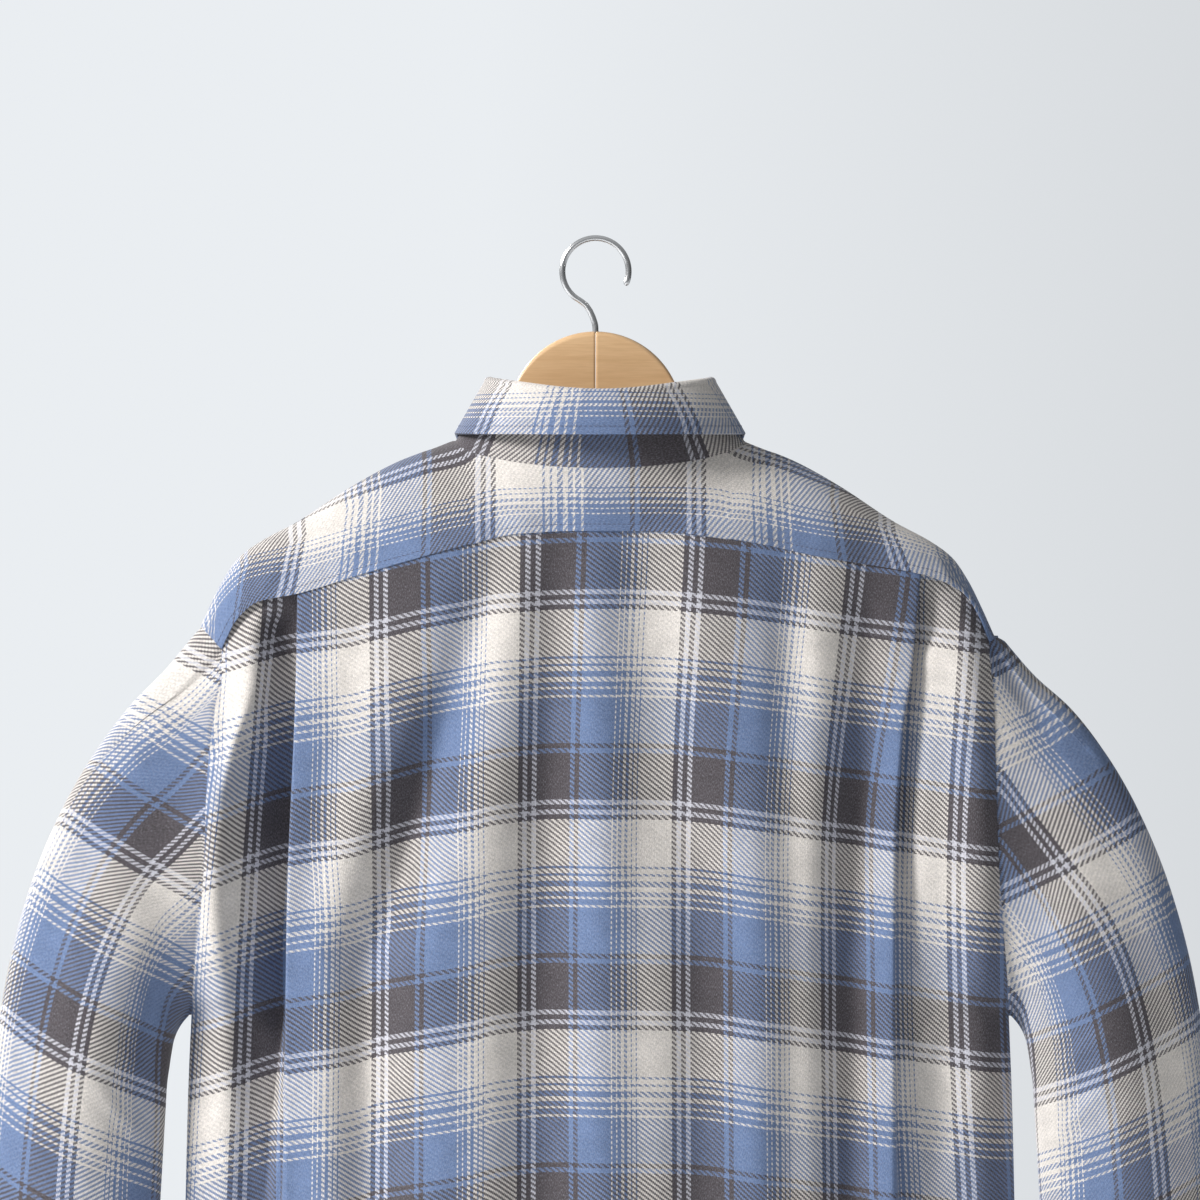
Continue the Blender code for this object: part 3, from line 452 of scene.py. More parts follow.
BACK_SEAM = table("x z", (-258, -265), (-250.5, -246), (-239, -231.5), (-213, -220), (-178, -213.5),
                  (-144, -207.5), (-92, -196.5), (-40, -190.5), (5, -189.8), (50, -191.5),
                  (98, -202.5), (156, -219), (200, -232.5), (226, -238), (240, -249.5), (251, -270))
FRONT_SEAM = table("x z y", (77, -159, 29.3), (100, -173, 36), (140, -198, 42), (180, -222, 40),
                   (215, -244, 32), (236, -262, 23), (246, -280, 17.5))
RIDGE = table("x z", (95, -133), (105, -137), (130, -146.5), (147, -155), (165, -165.5), (198, -187),
              (223, -200.5), (237, -211), (248, -227), (256, -243), (265, -263))
BACK_FOLDS = table("x_top x_low top low hem wide_top wide_low", (-176, -168, 8.0, 23.0, 20.0, 18, 23),
                   (-124, -126, 5.0, 7.0, 9.0, 14, 15), (-36, -56, 8.0, 16.5, 16.0, 27, 31),
                   (-24, -24, 1.0, 5.0, 5.0, 16, 17), (31, 36, 8.5, 20.0, 16.0, 18, 28),
                   (85, 129, 8.0, 22.5, 19.0, 17, 23), (158, 188, 2.0, 4.0, 6.0, 15, 15))
FRONT_FOLDS = table("x_top x_low top low hem wide_top wide_low", (-182, -190, 1.5, 8.0, 12.0, 18, 20),
                    (-104, -96, 1.0, 5.0, 9.0, 16, 20), (92, 104, 1.0, 6.0, 9.0, 17, 20),
                    (170, 184, 1.5, 8.0, 12.0, 18, 20))
FOLD_TOP_Z, FOLD_LOW_Z, FOLD_SPAN = -257.0, -398.0, (-0.4, 1.5)
SEAM_HOLD, SEAM_FADE = 0.45, 55.0  # share of a fold that a seam leaves, and the way down to the whole of it
PLEAT = {
    "left": table("z x turn radius tuck", (-905, 214, 30, 14, 20), (-700, 212, 62, 6, 9),
                  (-580, 210, 105, 3, 6), (-480, 208, 158, 1.9, 6), (-410, 206, 176, 1.6, 8),
                  (-300, 201.5, 180, 1.35, 12), (-230, 200, 180, 1.15, 15)),
    "right": table("z x turn radius tuck", (-905, 202, 30, 14, 20), (-700, 198, 62, 6, 9),
                   (-580, 196, 105, 3, 6), (-480, 195, 158, 1.9, 6), (-410, 195, 176, 1.5, 8),
                   (-325, 200, 180, 1.4, 12), (-285, 206, 180, 1.35, 14), (-220, 212, 180, 1.15, 18)),
}


def folds(rows, x, z):
    """How far the soft folds push the cloth in."""
    low = np.clip((FOLD_TOP_Z - z) / (FOLD_TOP_Z - FOLD_LOW_Z), *FOLD_SPAN)
    down = smooth_step((FOLD_LOW_Z - z) / (FOLD_LOW_Z - HEM_Z))
    depth = 0.0
    for x_top, x_low, top, deep, hem, wide_top, wide_low in zip(*rows.values()):
        middle = x_top + (x_low - x_top) * low
        size = top + (deep - top) * smooth_step(low) + (hem - deep) * down
        width = wide_top + (wide_low - wide_top) * smooth_step(low)
        depth = depth + size * np.exp(-((x - middle) / width) ** 2)
    seam = read(BACK_SEAM, "z", x, "x")
    return depth * (SEAM_HOLD + (1 - SEAM_HOLD) * smooth_step((seam - z) / SEAM_FADE))


def torso_y(x, z, half, side, soft):
    """Distance of the back or the front from the middle plane."""
    edge, deep = read(DEPTH, "edge", z), read(DEPTH, side, z)
    share = (1 - np.clip(np.abs(x) / half, 0, 1) ** SIDE_SHAPE) ** read(DEPTH, "power", z)
    return edge + (deep - edge) * share - folds(soft, x, z) * smooth_step(share * 2)


def back_y(x, z):
    half = np.where(x >= 0, read(EDGE["left"], "x", z), read(EDGE["right"], "x", z))
    return torso_y(x, z, half, "back", BACK_FOLDS)


def front_y(x, z):
    return -torso_y(x, z, read(EDGE["front"], "x", z), "front", FRONT_FOLDS)


def hem_z(x):
    return HEM_Z + HEM_RISE * np.clip(np.abs(x) / HEM_HALF, 0, 1) ** 3


def row_z(top, bottom, f):
    """Height of a row: f runs from -1 at the hem over 0 at the underarm to 1 at the top seam."""
    return UNDERARM_Z + (top - UNDERARM_Z) * f if f >= 0 else UNDERARM_Z - (bottom - UNDERARM_Z) * f


ROWS = np.concatenate([np.linspace(-1, -0.99, 3), np.linspace(-0.985, 0, 64)[:-1],
                       np.linspace(0, 1, 112)])
print("rows of the torso:", len(ROWS))

# %% [markdown]
# The back has two knife pleats. A pleat's section is an S: the cloth turns in by half a turn, runs
# back under itself and turns out again. Further down the turns are smaller and wider until the pleat
# has opened into a plain fold.


# %% A pleat's section
def pleat_path(turn, radius, tuck, arc_points):
    """A knife pleat's section: distance towards the middle and height, which ends at the top layer."""
    turn = math.radians(turn)
    angles = np.linspace(0, turn, arc_points)
    first = np.stack([radius * np.sin(angles), radius * (1 - np.cos(angles))], 1)
    start = first[-1] + np.array([math.cos(turn), math.sin(turn)]) * tuck
    back = angles[::-1]
    second = start + np.stack([radius * (math.sin(turn) - np.sin(back)),
                               radius * (np.cos(back) - math.cos(turn))], 1)
    path = np.concatenate([first, second])
    return path - path[-1]


def pleat_row(side, z, arc_points):
    """A pleat's points at one height, as x and y from the outer side towards the middle."""
    sign = 1 if side == "left" else -1
    rows = PLEAT[side]
    turn, radius, tuck, fold = read_all(rows, "turn radius tuck x", z)
    edge = fold - radius * math.sin(math.radians(min(turn, 90)))
    path = pleat_path(turn, radius, tuck, arc_points)
    slope = float(back_y(sign * (edge + 1), z) - back_y(sign * (edge - 1), z)) / 2
    x = edge - path[:, 0] / math.hypot(1, slope)
    dy = (back_y(sign * (x + 1), z) - back_y(sign * (x - 1), z)) / 2
    length = np.hypot(1, dy)
    return sign * (x - path[:, 1] * dy / length), back_y(sign * x, z) + path[:, 1] / length


# %% [markdown]
# Outside each pleat the cloth dips beside the fold and rolls out again before the armhole. The check
# must meet the eye where the cutter put it, so short tables say where its dark stripes run down the
# back and how far its rows hang at each place across it.

# %% The back's rolls, stripes and creases
OUTER_ROLL = {
    "left": table("z ridge high valley deep", (-905, 250, 3, 210, 4), (-640, 248, 6, 206, 12),
                  (-515, 250, 8, 206, 20), (-430, 257, 11, 206, 29), (-354, 254, 12, 205, 27),
                  (-325, 246, 11.5, 203, 22), (-288, 231, 10.5, 201, 16), (-240, 229, 8, 202, 11)),
    "right": table("z ridge high valley deep", (-905, 252, 3, 204, 3), (-640, 254, 7, 200, 6),
                   (-410, 252, 12, 199, 9), (-325, 250, 11, 202, 9), (-240, 246, 6, 210, 7)),
}
OUTER_ROLL_WIDTH = {"left": (12.0, 23.0), "right": (20.0, 10.0)}
DIP_END = 0.86  # share of the way to the pleat from which the dip closes again
ROLL_START = 14.0  # how soon the rolls begin under the yoke
RECESS_RATE = 1.35  # how soon the outer part lies as deep as the pleat's first turn
SIDE_N, ARC_N, CENTRE_N, SIDE_CROWD = 44, 9, 150, 1.4
# Where the repeat's first dark stripe runs, by height: outside the left pleat, between the pleats and
# outside the right one
COLUMNS = table("z a b c d e f", (-905, 258, 156, 56, -49, -151, -252),
                (-410, 238.5, 151.1, 54.8, -47.2, -145.9, -230),
                (-189, 223.5, 152.5, 52.4, -56.1, -163, -239.5))
FIRST_DARK = 21 * WARP_PITCH  # from the sett's start to that stripe
# How far a weft row hangs down, across the back
HANG = table("x low", (-280, 34), (-232, 27.2), (-200, 22.3), (-169, 18), (-137, 12.3), (-106, 6.8),
             (-74, 2.4), (-42, 0.1), (0, -1.1), (37, 0), (53, 1.2), (69, 2.5), (84, 6), (100, 9),
             (116, 12), (148, 20), (164, 24.7), (195, 29), (227, 36), (243, 41.5), (280, 54))
ARCH = 6.4e-4  # the same in front, as this times the square of x
WEFT_START = 242.5  # depth under the origin where the weft's sett starts at the middle
UNDER_YOKE = 0.4  # how far a panel's top goes up under the yoke's edge
HEM_TURN, HEM_PROUD, CREASE_FADE = 8.0, 0.5, 30.0  # the turned hem and where creases die out over it
BACK_CREASES = table(
    "x1 z1 x2 z2 size width", (150, -230, 138, -330, 0.8, 6), (72, -215, 62, -330, 0.7, 7),
    (-60, -205, -66, -320, 0.7, 7), (-140, -220, -146, -330, 0.8, 6), (255, -470, 170, -610, 2.0, 8),
    (-255, -470, -160, -620, 2.2, 8), (262, -520, 190, -700, 1.6, 9), (-262, -530, -196, -720, 1.8, 9),
    (90, -560, 60, -760, 1.4, 9), (-80, -600, -60, -800, 1.5, 9), (10, -640, 18, -860, 1.6, 9),
    (180, -700, 168, -880, 1.6, 9), (-176, -690, -184, -870, 1.6, 9))


# %% The back panel
def back_row(f):
    """One row of the back from the left side to the right one: points and warp coordinate."""
    parts, outer = {}, {}
    for side, sign, end in (("left", 1, -1), ("right", -1, 0)):
        seam_x = sign * float(PLEAT[side]["x"][-1])
        fold_z = float(row_z(read(BACK_SEAM, "z", seam_x, "x"), hem_z(seam_x), f))
        x, y = pleat_row(side, fold_z, ARC_N)
        edge_z = float(row_z(BACK_SEAM["z"][end], hem_z(HEM_HALF), f))
        edge_x = sign * float(read(EDGE[side], "x", edge_z))
        share = np.linspace(0, 1, SIDE_N + 1)[:-1] ** SIDE_CROWD
        wide = edge_x + (x[0] - edge_x) * share
        tall = edge_z + (fold_z - edge_z) * share
        recess = y[0] - float(back_y(x[0], fold_z))
        plain = back_y(wide, tall) + recess * smooth_step(share * RECESS_RATE)
        ridge, high, valley, deep = read_all(OUTER_ROLL[side], "ridge high valley deep", fold_z)
        ridge_width, valley_width = OUTER_ROLL_WIDTH[side]
        roll = high * np.exp(-((wide * sign - ridge) / ridge_width) ** 2)
        dip = deep * np.exp(-((wide * sign - valley) / valley_width) ** 2)
        dip = dip * (1 - smooth_step((share - DIP_END) / (1 - DIP_END)))
        plain = plain + (roll - dip) * smooth_step((1 - f) * ROLL_START)
        parts[side] = (np.concatenate([wide, x]), np.concatenate([plain, y]))
    left, right = parts["left"], parts["right"]
    middle = np.linspace(left[0][-1], right[0][-1], CENTRE_N + 1)[1:-1]
    x = np.concatenate([left[0], middle, right[0][::-1]])
    z = row_z(read(BACK_SEAM, "z", x, "x") + UNDER_YOKE, hem_z(x), f)
    y = np.concatenate([left[1], back_y(middle, z[len(left[0]):-len(right[0])]), right[1][::-1]])
    run = arc(np.stack([x, y], 1))
    # The outer parts and the middle are matched to the columns each on its own; the difference lies
    # in the hidden cloth of the pleats.
    split_left, split_right = SIDE_N + ARC_N, len(x) - SIDE_N - ARC_N
    warp = np.empty_like(x)
    height = float(z[len(z) // 2])
    column = dict(zip("abcdef", read_all(COLUMNS, "a b c d e f", height)))
    inside = slice(split_left + ARC_N - 1, split_right - ARC_N + 1)
    marks = np.interp([-column[c] for c in "bcde"], -x[inside], run[inside])
    here = run[split_left:split_right]
    value = np.interp(here, marks, np.arange(4) * WARP_REPEAT)
    value += np.where(here < marks[0], (here - marks[0]) * WARP_REPEAT / (marks[1] - marks[0]), 0)
    value += np.where(here > marks[3], (here - marks[3]) * WARP_REPEAT / (marks[3] - marks[2]), 0)
    warp[split_left:split_right] = value
    mark = np.interp(-column["a"], -x[:SIDE_N], run[:SIDE_N])
    warp[:split_left] = run[:split_left] - mark - WARP_REPEAT
    mark = np.interp(-column["f"], -x[-SIDE_N:], run[-SIDE_N:])
    warp[split_right:] = run[split_right:] - mark + 4 * WARP_REPEAT
    return np.stack([x, y, z], 1), warp + FIRST_DARK


def weft_place(z, low):
    """Weft coordinate at a height, where the row hangs down by so much."""
    return -z - WEFT_START - low


def turned_hem(rise):
    """How far the turned hem stands out, by the height over its edge."""
    return HEM_PROUD * (1 - smooth_step((rise - HEM_TURN) / 2))


back_points, back_warp = (np.array(part) for part in zip(*(back_row(f) for f in ROWS)))
swell = creases(BACK_CREASES, back_points[..., 0], back_points[..., 2])
from_hem = back_points[..., 2] - hem_z(back_points[..., 0])
back_points[..., 1] += swell * smooth_step(from_hem / CREASE_FADE) + turned_hem(from_hem)
back_low = read(HANG, "low", back_points[..., 0], "x")
back_uv = np.stack([back_warp, weft_place(back_points[..., 2], back_low)], -1)
back = grid_piece("back_panel", back_points, back_uv, CLOTH, body_flannel)
stands_for("back")

# %% [markdown]
# The two fronts hang from the yoke's front seams and the neck. They meet in the shared surface of the
# chest; where they lap, the left one moves out and the right one in. The placket is a band on the left
# front's edge.

# %% Sizes of the neck and the fronts
NECK = {"x": 95.0, "back": 44.0, "front": 50.0, "side": -133.0,
        "back_drop": 15.0, "front_drop": 52.0, "back_bend": 1.2, "front_bend": 1.35}
FOLD = {"x": 68.5, "back": 54.0, "front": 68.0, "side": -91.5,
        "back_drop": 5.2, "front_drop": 66.0, "back_bend": 4.0, "front_bend": 1.35}
YOKE_CORNER, FRONT_CORNER = math.radians(25), math.radians(-36)
PLACKET_OUT, PLACKET_IN, LAP, OVER = -17.0, 18.0, 1.5, 1.7
BAND_STITCH, BAND_ROLL = 5.0, 0.35  # the placket's stitches from its edge, and its puff beside them
FRONT_WARP = 30.0  # warp place at the placket's middle
FRONT_CREASES = table(
    "x1 z1 x2 z2 size width", (60, -240, 26, -350, 1.6, 6), (-60, -240, -30, -340, 1.5, 6),
    (30, -300, 110, -420, 1.4, 7), (-32, -330, -110, -470, 1.4, 7), (228, -330, 160, -480, 2.4, 8),
    (-228, -330, -158, -490, 2.4, 8), (240, -430, 190, -590, 2.2, 8), (-240, -440, -190, -600, 2.0, 8),
    (28, -440, 80, -560, 1.3, 7), (-30, -520, -96, -650, 1.4, 8), (140, -250, 128, -380, 1.0, 8),
    (-140, -250, -126, -380, 1.0, 8), (60, -600, 74, -800, 1.6, 9), (-62, -620, -80, -830, 1.6, 9),
    (150, -640, 160, -860, 1.8, 10), (-150, -650, -146, -850, 1.8, 10), (226, -640, 216, -840, 1.4, 9),
    (-226, -660, -220, -840, 1.4, 9))


def neck(angle, ring=NECK):
    """A point of the neck seam or of the collar's fold; 90 degrees is the middle of the back."""
    s = np.sin(angle)
    at_back = s >= 0
    deep = np.where(at_back, ring["back"], ring["front"])
    dip = np.abs(s) ** np.where(at_back, ring["back_bend"], ring["front_bend"])
    drop = np.where(at_back, ring["back_drop"], ring["front_drop"])
    return np.stack([ring["x"] * np.cos(angle), deep * s, ring["side"] - drop * dip], -1)


def front_top(x):
    """Depth and height of a front's top edge: the yoke's seam, then the neck."""
    reach = np.abs(x)
    ring = neck(-np.arccos(np.clip(reach / NECK["x"], 0, 1)))
    on_seam = reach >= FRONT_SEAM["x"][0]
    y = np.where(on_seam, -read(FRONT_SEAM, "y", reach, "x"), ring[..., 1])
    z = np.where(on_seam, read(FRONT_SEAM, "z", reach, "x"), ring[..., 2]) + UNDER_YOKE
    return y, z


def front_points(x_top, x, f, lap):
    """Points of a front; lap is -1 for the front that lies outside and 1 for the other."""
    top_y, top_z = front_top(x_top)
    z = row_z(top_z, hem_z(x), f)
    y = front_y(x, z) + (top_y - front_y(x_top, top_z)) * max(f, 0) ** 2
    y = y + lap * LAP * (1 - smooth_step((np.abs(x) - PLACKET_IN - 2) / 30))
    return np.stack([x, y, z], -1)


def front_swell(points):
    """Creases, the turned hem and the flat strip under the placket."""
    x, z = points[..., 0], points[..., 2]
    rise = z - hem_z(x)
    free = smooth_step((np.abs(x) - 20) / 14) * smooth_step(rise / CREASE_FADE)
    return creases(FRONT_CREASES, x, z) * free + turned_hem(rise)


def front_grid(sign, seam_n=72, neck_n=30):
    """A front from its armhole and side seam to its free edge."""
    corner, free = FRONT_SEAM["x"][0], PLACKET_OUT * sign
    seam_x, end_z = FRONT_SEAM["x"][-1], FRONT_SEAM["z"][-1]
    share = np.linspace(0, 1, seam_n + 1) ** SIDE_CROWD
    tops = np.concatenate([seam_x + (corner - seam_x) * share,
                           np.linspace(corner, sign * free, neck_n + 1)[1:]])
    grid = []
    for f in ROWS:
        edge = float(read(EDGE["front"], "x", float(row_z(end_z, hem_z(HEM_HALF), f))))
        reach = edge + (sign * free - edge) * (seam_x - tops) / (seam_x - sign * free)
        grid.append(front_points(sign * tops, sign * reach, f, -sign))
    grid = np.array(grid)
    grid[..., 1] -= front_swell(grid)
    return grid


# %% The fronts and the placket
def front_uv(grid):
    """Warp runs to the wearer's left, as seen from outside, from the placket's middle."""
    x, z = grid[..., 0], grid[..., 2]
    run = arc(grid[..., :2], axis=1) * np.sign(x[:, -1:] - x[:, :1])
    near = np.argmin(np.abs(x), axis=1)
    zero = run[np.arange(len(run)), near] - x[np.arange(len(run)), near]
    return np.stack([run - zero[:, None] + FRONT_WARP, weft_place(z, ARCH * x ** 2)], -1)


fronts = {}
for name, sign in SIDES:
    fronts[name] = front_grid(sign)
    piece = grid_piece(f"{name}_front", fronts[name], front_uv(fronts[name]), CLOTH, body_flannel,
                       flip=sign > 0)
    stands_for(f"front_{name}")
band_x = np.linspace(PLACKET_OUT - 0.4, PLACKET_IN, 22)
placket_points = np.array([front_points(band_x, band_x, min(f, 0.998), -1) for f in ROWS])
band_edge = np.minimum(band_x - band_x[0], band_x[-1] - band_x)
groove = np.exp(-((band_edge - BAND_STITCH) / 1.2) ** 2)
placket_points[..., 1] -= OVER + BAND_ROLL * smooth_step(band_edge / 3) - BAND_ROLL * groove
placket = grid_piece("front_placket", placket_points, front_uv(placket_points), CLOTH, body_flannel,
                     flip=True)
stands_for("placket")

# %% [markdown]
# The yoke is one panel cut crosswise: two shoulders that go over the hanger from the back seam to the
# front seams, and the strip under the collar between them. Its folded edge lies on the panels, so it
# stands a little proud at the seams.

# %% The yoke
YOKE_X = NECK["x"] * math.cos(YOKE_CORNER)
SHOULDER_SHAPE = 1.25  # power of the curve over the hanger
PROUD, PROUD_FADE = 1.35, 9.0  # how far the folded edge lies over the panel, and for how long


def shoulder_grid(sign, across_n, back_n, front_n):
    """One shoulder: rows from the back seam over the ridge to the front seam, columns inwards."""
    end = -1 if sign > 0 else 0
    seam_end = abs(float(BACK_SEAM["x"][end]))
    rows = back_n + front_n + 1
    turn = np.radians(np.concatenate([np.linspace(0, 90, back_n + 1), np.linspace(90, 180, front_n + 1)[1:]]))
    corner_row = round(back_n * 0.6)
    share = np.linspace(0, 1, across_n + 1)
    out = 1 - share ** CROWD
    back_x = YOKE_X + (seam_end - YOKE_X) * out
    back_z = read(BACK_SEAM, "z", sign * back_x, "x")
    foot = np.stack([back_x, back_y(sign * back_x, back_z), back_z], -1)
    foot[0, 1] = float(read(DEPTH, "edge", back_z[0]))
    ridge_x = RIDGE["x"][0] + (RIDGE["x"][-1] - RIDGE["x"][0]) * out
    ridge_z = read(RIDGE, "z", ridge_x + sign * SHIRT_X, "x")
    ridge = np.stack([ridge_x, np.zeros_like(ridge_x), ridge_z], -1)
    front_x = FRONT_SEAM["x"][0] + (FRONT_SEAM["x"][-1] - FRONT_SEAM["x"][0]) * out
    front = np.stack([front_x, -read(FRONT_SEAM, "y", front_x, "x"), read(FRONT_SEAM, "z", front_x, "x")], -1)
    rise = (np.abs(np.sin(turn)) ** SHOULDER_SHAPE)[:, None, None]
    level = (np.abs(np.cos(turn)) ** SHOULDER_SHAPE)[:, None]
    low = np.where((np.cos(turn) > 0)[:, None, None], foot, front)
    grid = low + (ridge - low) * rise
    grid[..., 1] = low[..., 1] * level
    ring = neck(np.interp(np.arange(rows), [corner_row, back_n, rows - 1], [YOKE_CORNER, 0, FRONT_CORNER]))
    inner = ring.copy()
    steps = np.arange(corner_row)[:, None] / corner_row
    inner[:corner_row] = grid[0, -1] + (ring[corner_row] - grid[0, -1]) * steps
    grid += (inner - grid[:, -1])[:, None, :] * (share[None, :, None] ** 3)
    grid[..., 0] *= sign
    return grid, corner_row


# %% The yoke's place in the cloth
YOKE_WEFT = 69.0  # where a weft repeat starts, left of the middle
YOKE_WARP = 70.7 * WARP_PITCH  # warp place at the middle of the back seam
YOKE_LEAN = 5.5 * WARP_PITCH  # how much lower it is 200 mm out
EASED, EASED_WIDTH = {"left": 0.09, "right": 0.12}, 30.0
YOKE_CREASES = table("x1 z1 x2 z2 size width", (205, -200, 232, -244, 1.4, 4),
                     (-215, -200, -240, -240, 1.2, 4), (120, -168, 175, -196, 0.8, 5),
                     (-120, -168, -170, -192, 0.8, 5))


def proud(grid, run):
    """Lifts a shoulder's back and front edges off the panels."""
    normal = rise_normals(grid)
    centre = np.array([grid[..., 0].mean(), 0.0, grid[..., 2].mean() - 40])
    side = np.sign(np.sum(normal * (grid - centre), -1, keepdims=True))
    lift = PROUD * (1 - smooth_step(run / PROUD_FADE))
    lift += PROUD * (1 - smooth_step((run[-1:] - run) / PROUD_FADE))
    x, z = grid[..., 0], grid[..., 2]
    lift = lift + creases(YOKE_CREASES, x, z) * (grid[..., 1] > 0)
    return grid + normal * side * lift[..., None]


def yoke_warp(seam_x, run):
    """Warp goes up from the back seam; beside the neck the cloth is eased in, on the right more."""
    beside = np.exp(-((np.abs(seam_x) - YOKE_X) / EASED_WIDTH) ** 2)
    eased = np.where(seam_x < 0, EASED["right"], EASED["left"]) * beside
    lean = YOKE_LEAN * np.clip(np.abs(seam_x) / 200, 0, 1.2)
    return YOKE_WARP - lean[None, :] + run * (1 - eased)[None, :]


def yoke_uv(grid, run, inner_x):
    """Weft goes from the wearer's left to the right as seen from behind."""
    seam_x = grid[0, :, 0]
    warp = yoke_warp(seam_x, run)
    across = arc(grid[:, ::-1], axis=1)[:, ::-1]
    weft = YOKE_WEFT - inner_x[:, None] - np.sign(seam_x[0]) * across
    return np.stack([warp, weft], -1)


# %% [markdown]
# The yoke's three parts are grids of their own, laid so that they share the points where they meet.
# Joining those points makes them one surface, and a few rounds of averaging even out the bend beside
# the neck.

# %% The three parts of the yoke
def yoke(across_n=84, back_n=30, front_n=26, centre_n=76):
    """Points, quads and cloth coordinates of the yoke, its middle strip and its two shoulders."""
    points, faces, loops = [], [], []
    start = 0
    shoulders = {}
    for sign in (1, -1):
        grid, corner_row = shoulder_grid(sign, across_n, back_n, front_n)
        run = arc(grid, axis=0)
        shoulders[sign] = raised = proud(grid, run)
        uv = yoke_uv(grid, run, grid[:, -1, 0])
        corners = quads(*grid.shape[:2])
        if sign < 0:
            corners = corners[:, ::-1]
        points.append(raised.reshape(-1, 3))
        loops.append(uv.reshape(-1, 2)[corners.ravel()])
        faces.append(corners + start)
        start += grid.shape[0] * grid.shape[1]
    angles = np.linspace(YOKE_CORNER, math.pi - YOKE_CORNER, centre_n + 1)
    seam_x = np.linspace(YOKE_X, -YOKE_X, centre_n + 1)
    seam_z = read(BACK_SEAM, "z", seam_x, "x")
    foot = np.stack([seam_x, back_y(seam_x, seam_z), seam_z], -1)
    top = neck(angles)
    steps = (np.arange(corner_row + 1) / corner_row)[:, None, None]
    strip = foot + (top - foot) * steps
    run, straight = arc(strip), strip[..., 0].copy()
    strip[..., 1] += PROUD * (1 - smooth_step(run / PROUD_FADE))
    strip[:, 0], strip[:, -1] = (shoulders[sign][:corner_row + 1, -1] for sign in (1, -1))
    warp = yoke_warp(seam_x, run)
    weft = YOKE_WEFT - straight
    corners = quads(corner_row + 1, centre_n + 1)
    points.append(strip.reshape(-1, 3))
    loops.append(np.stack([warp, weft], -1).reshape(-1, 2)[corners.ravel()])
    faces.append(corners + start)
    return np.concatenate(points), np.concatenate(faces), np.concatenate(loops), strip, shoulders


def weld(points, faces):
    """Joins points in the same place, so that the parts of a panel are one surface."""
    keys = np.round(points, 3)
    _, first, inverse = np.unique(keys, axis=0, return_index=True, return_inverse=True)
    return points[first], inverse.ravel()[faces]


def ease(points, faces, rounds=60):
    """Evens out a panel where its parts meet, at the back beside the neck; its edges stay."""
    pairs = np.concatenate([faces[:, [k, (k + 1) % 4]] for k in range(4)])
    _, uses = np.unique(np.sort(pairs, axis=1), axis=0, return_counts=True)
    once = np.unique(np.sort(pairs, axis=1), axis=0)[uses == 1]
    held = np.zeros(len(points), bool)
    held[once.ravel()] = True
    near = 1 - smooth_step((np.abs(np.abs(points[:, 0]) - YOKE_X) - 8) / 22)
    near = (near * (points[:, 1] > 0) * ~held)[:, None]
    count = np.bincount(pairs.ravel(), minlength=len(points))[:, None]
    for _ in range(rounds):
        total = np.zeros_like(points)
        for k, other in ((0, 1), (1, 0)):
            np.add.at(total, pairs[:, k], points[pairs[:, other]])
        points = points + (total / count - points) * near * 0.6
    return points


yoke_points, yoke_faces, yoke_loops, yoke_strip, yoke_shoulders = yoke()
welded, corners = weld(yoke_points, yoke_faces)
welded = ease(welded, corners)
yoke_piece = cloth_piece("shoulder_yoke", welded, corners.tolist(), yoke_loops, CLOTH, cross_flannel)
stands_for("yoke")

# %% [markdown]
# The collar has two parts. The stand is a band that stands up from the neck seam, and the leaf is sewn
# to its top, rolls over and falls outside it. Both are double cloth, so they hold their own curve.

# %% The collar
COLLAR_HEIGHT, STAND_SHARE = 53.0, 0.64  # from the neck seam to the fold, and the stand's share of it
STAND_LAP, STAND_LAP_FADE = 1.9, 0.7  # how far each end moves to lap, and over which angle that fades
STAND_LAP_ANGLE, STAND_LIFT = math.radians(9), (-0.3, -0.4)
ROLL, LEAF_END, LEAF_BULGE = 3.2, math.radians(81), 3.0  # the fold's radius, the leaf's end and puff
LEAF_EDGE_BACK = {"x": 96.0, "y": 66.0, "z": -128.0, "rise": 2.6}
LEAF_POINT = table("a x y z", (0, 96, 0, -128), (30, 88, -45, -152), (60, 62, -78, -196),
                   (81, 38, -92, -223))
LEAF_WEFT, STAND_WEFT, LEAF_WARP, STAND_WARP = 73.3, 70.6, 70 * WARP_PITCH, 34 * WARP_PITCH


def collar_point(angle, share):
    """A point of the collar's inner surface: 0 is the neck seam and 1 the fold."""
    low, high = neck(angle), neck(angle, FOLD)
    return low + (high - low) * np.asarray(share)[..., None]


def ring_out(angle, ring):
    """The level direction that points out of a ring."""
    deep = np.where(np.sin(angle) >= 0, ring["back"], ring["front"])
    return unit(np.stack([np.cos(angle) / ring["x"], np.sin(angle) / deep, np.zeros_like(angle)], -1))


def along_weft(row, angle, zero):
    """Weft place along a row of the collar, from the middle of the back towards the right."""
    run = arc(row)
    return zero + run - np.interp(math.pi / 2, angle, run)


def stand_grid(along_n=300, rows=22):
    angle = np.linspace(-math.pi / 2 - STAND_LAP_ANGLE, 1.5 * math.pi + STAND_LAP_ANGLE, along_n + 1)
    left_end = 1 - smooth_step((angle - angle[0]) / STAND_LAP_FADE)
    right_end = 1 - smooth_step((angle[-1] - angle) / STAND_LAP_FADE)
    push = STAND_LAP * (left_end - right_end)
    lift = np.interp(np.sin(angle), [0, 1], STAND_LIFT[::-1]) / COLLAR_HEIGHT
    share = lift + (STAND_SHARE - lift) * np.linspace(0, 1, rows)[:, None]
    grid = collar_point(angle, share) + ring_out(angle, NECK) * push[:, None]
    warp = STAND_WARP + arc(grid, axis=0)
    weft = along_weft(grid[rows // 2], angle, STAND_WEFT)
    return grid, np.stack([warp, np.broadcast_to(weft, warp.shape)], -1)


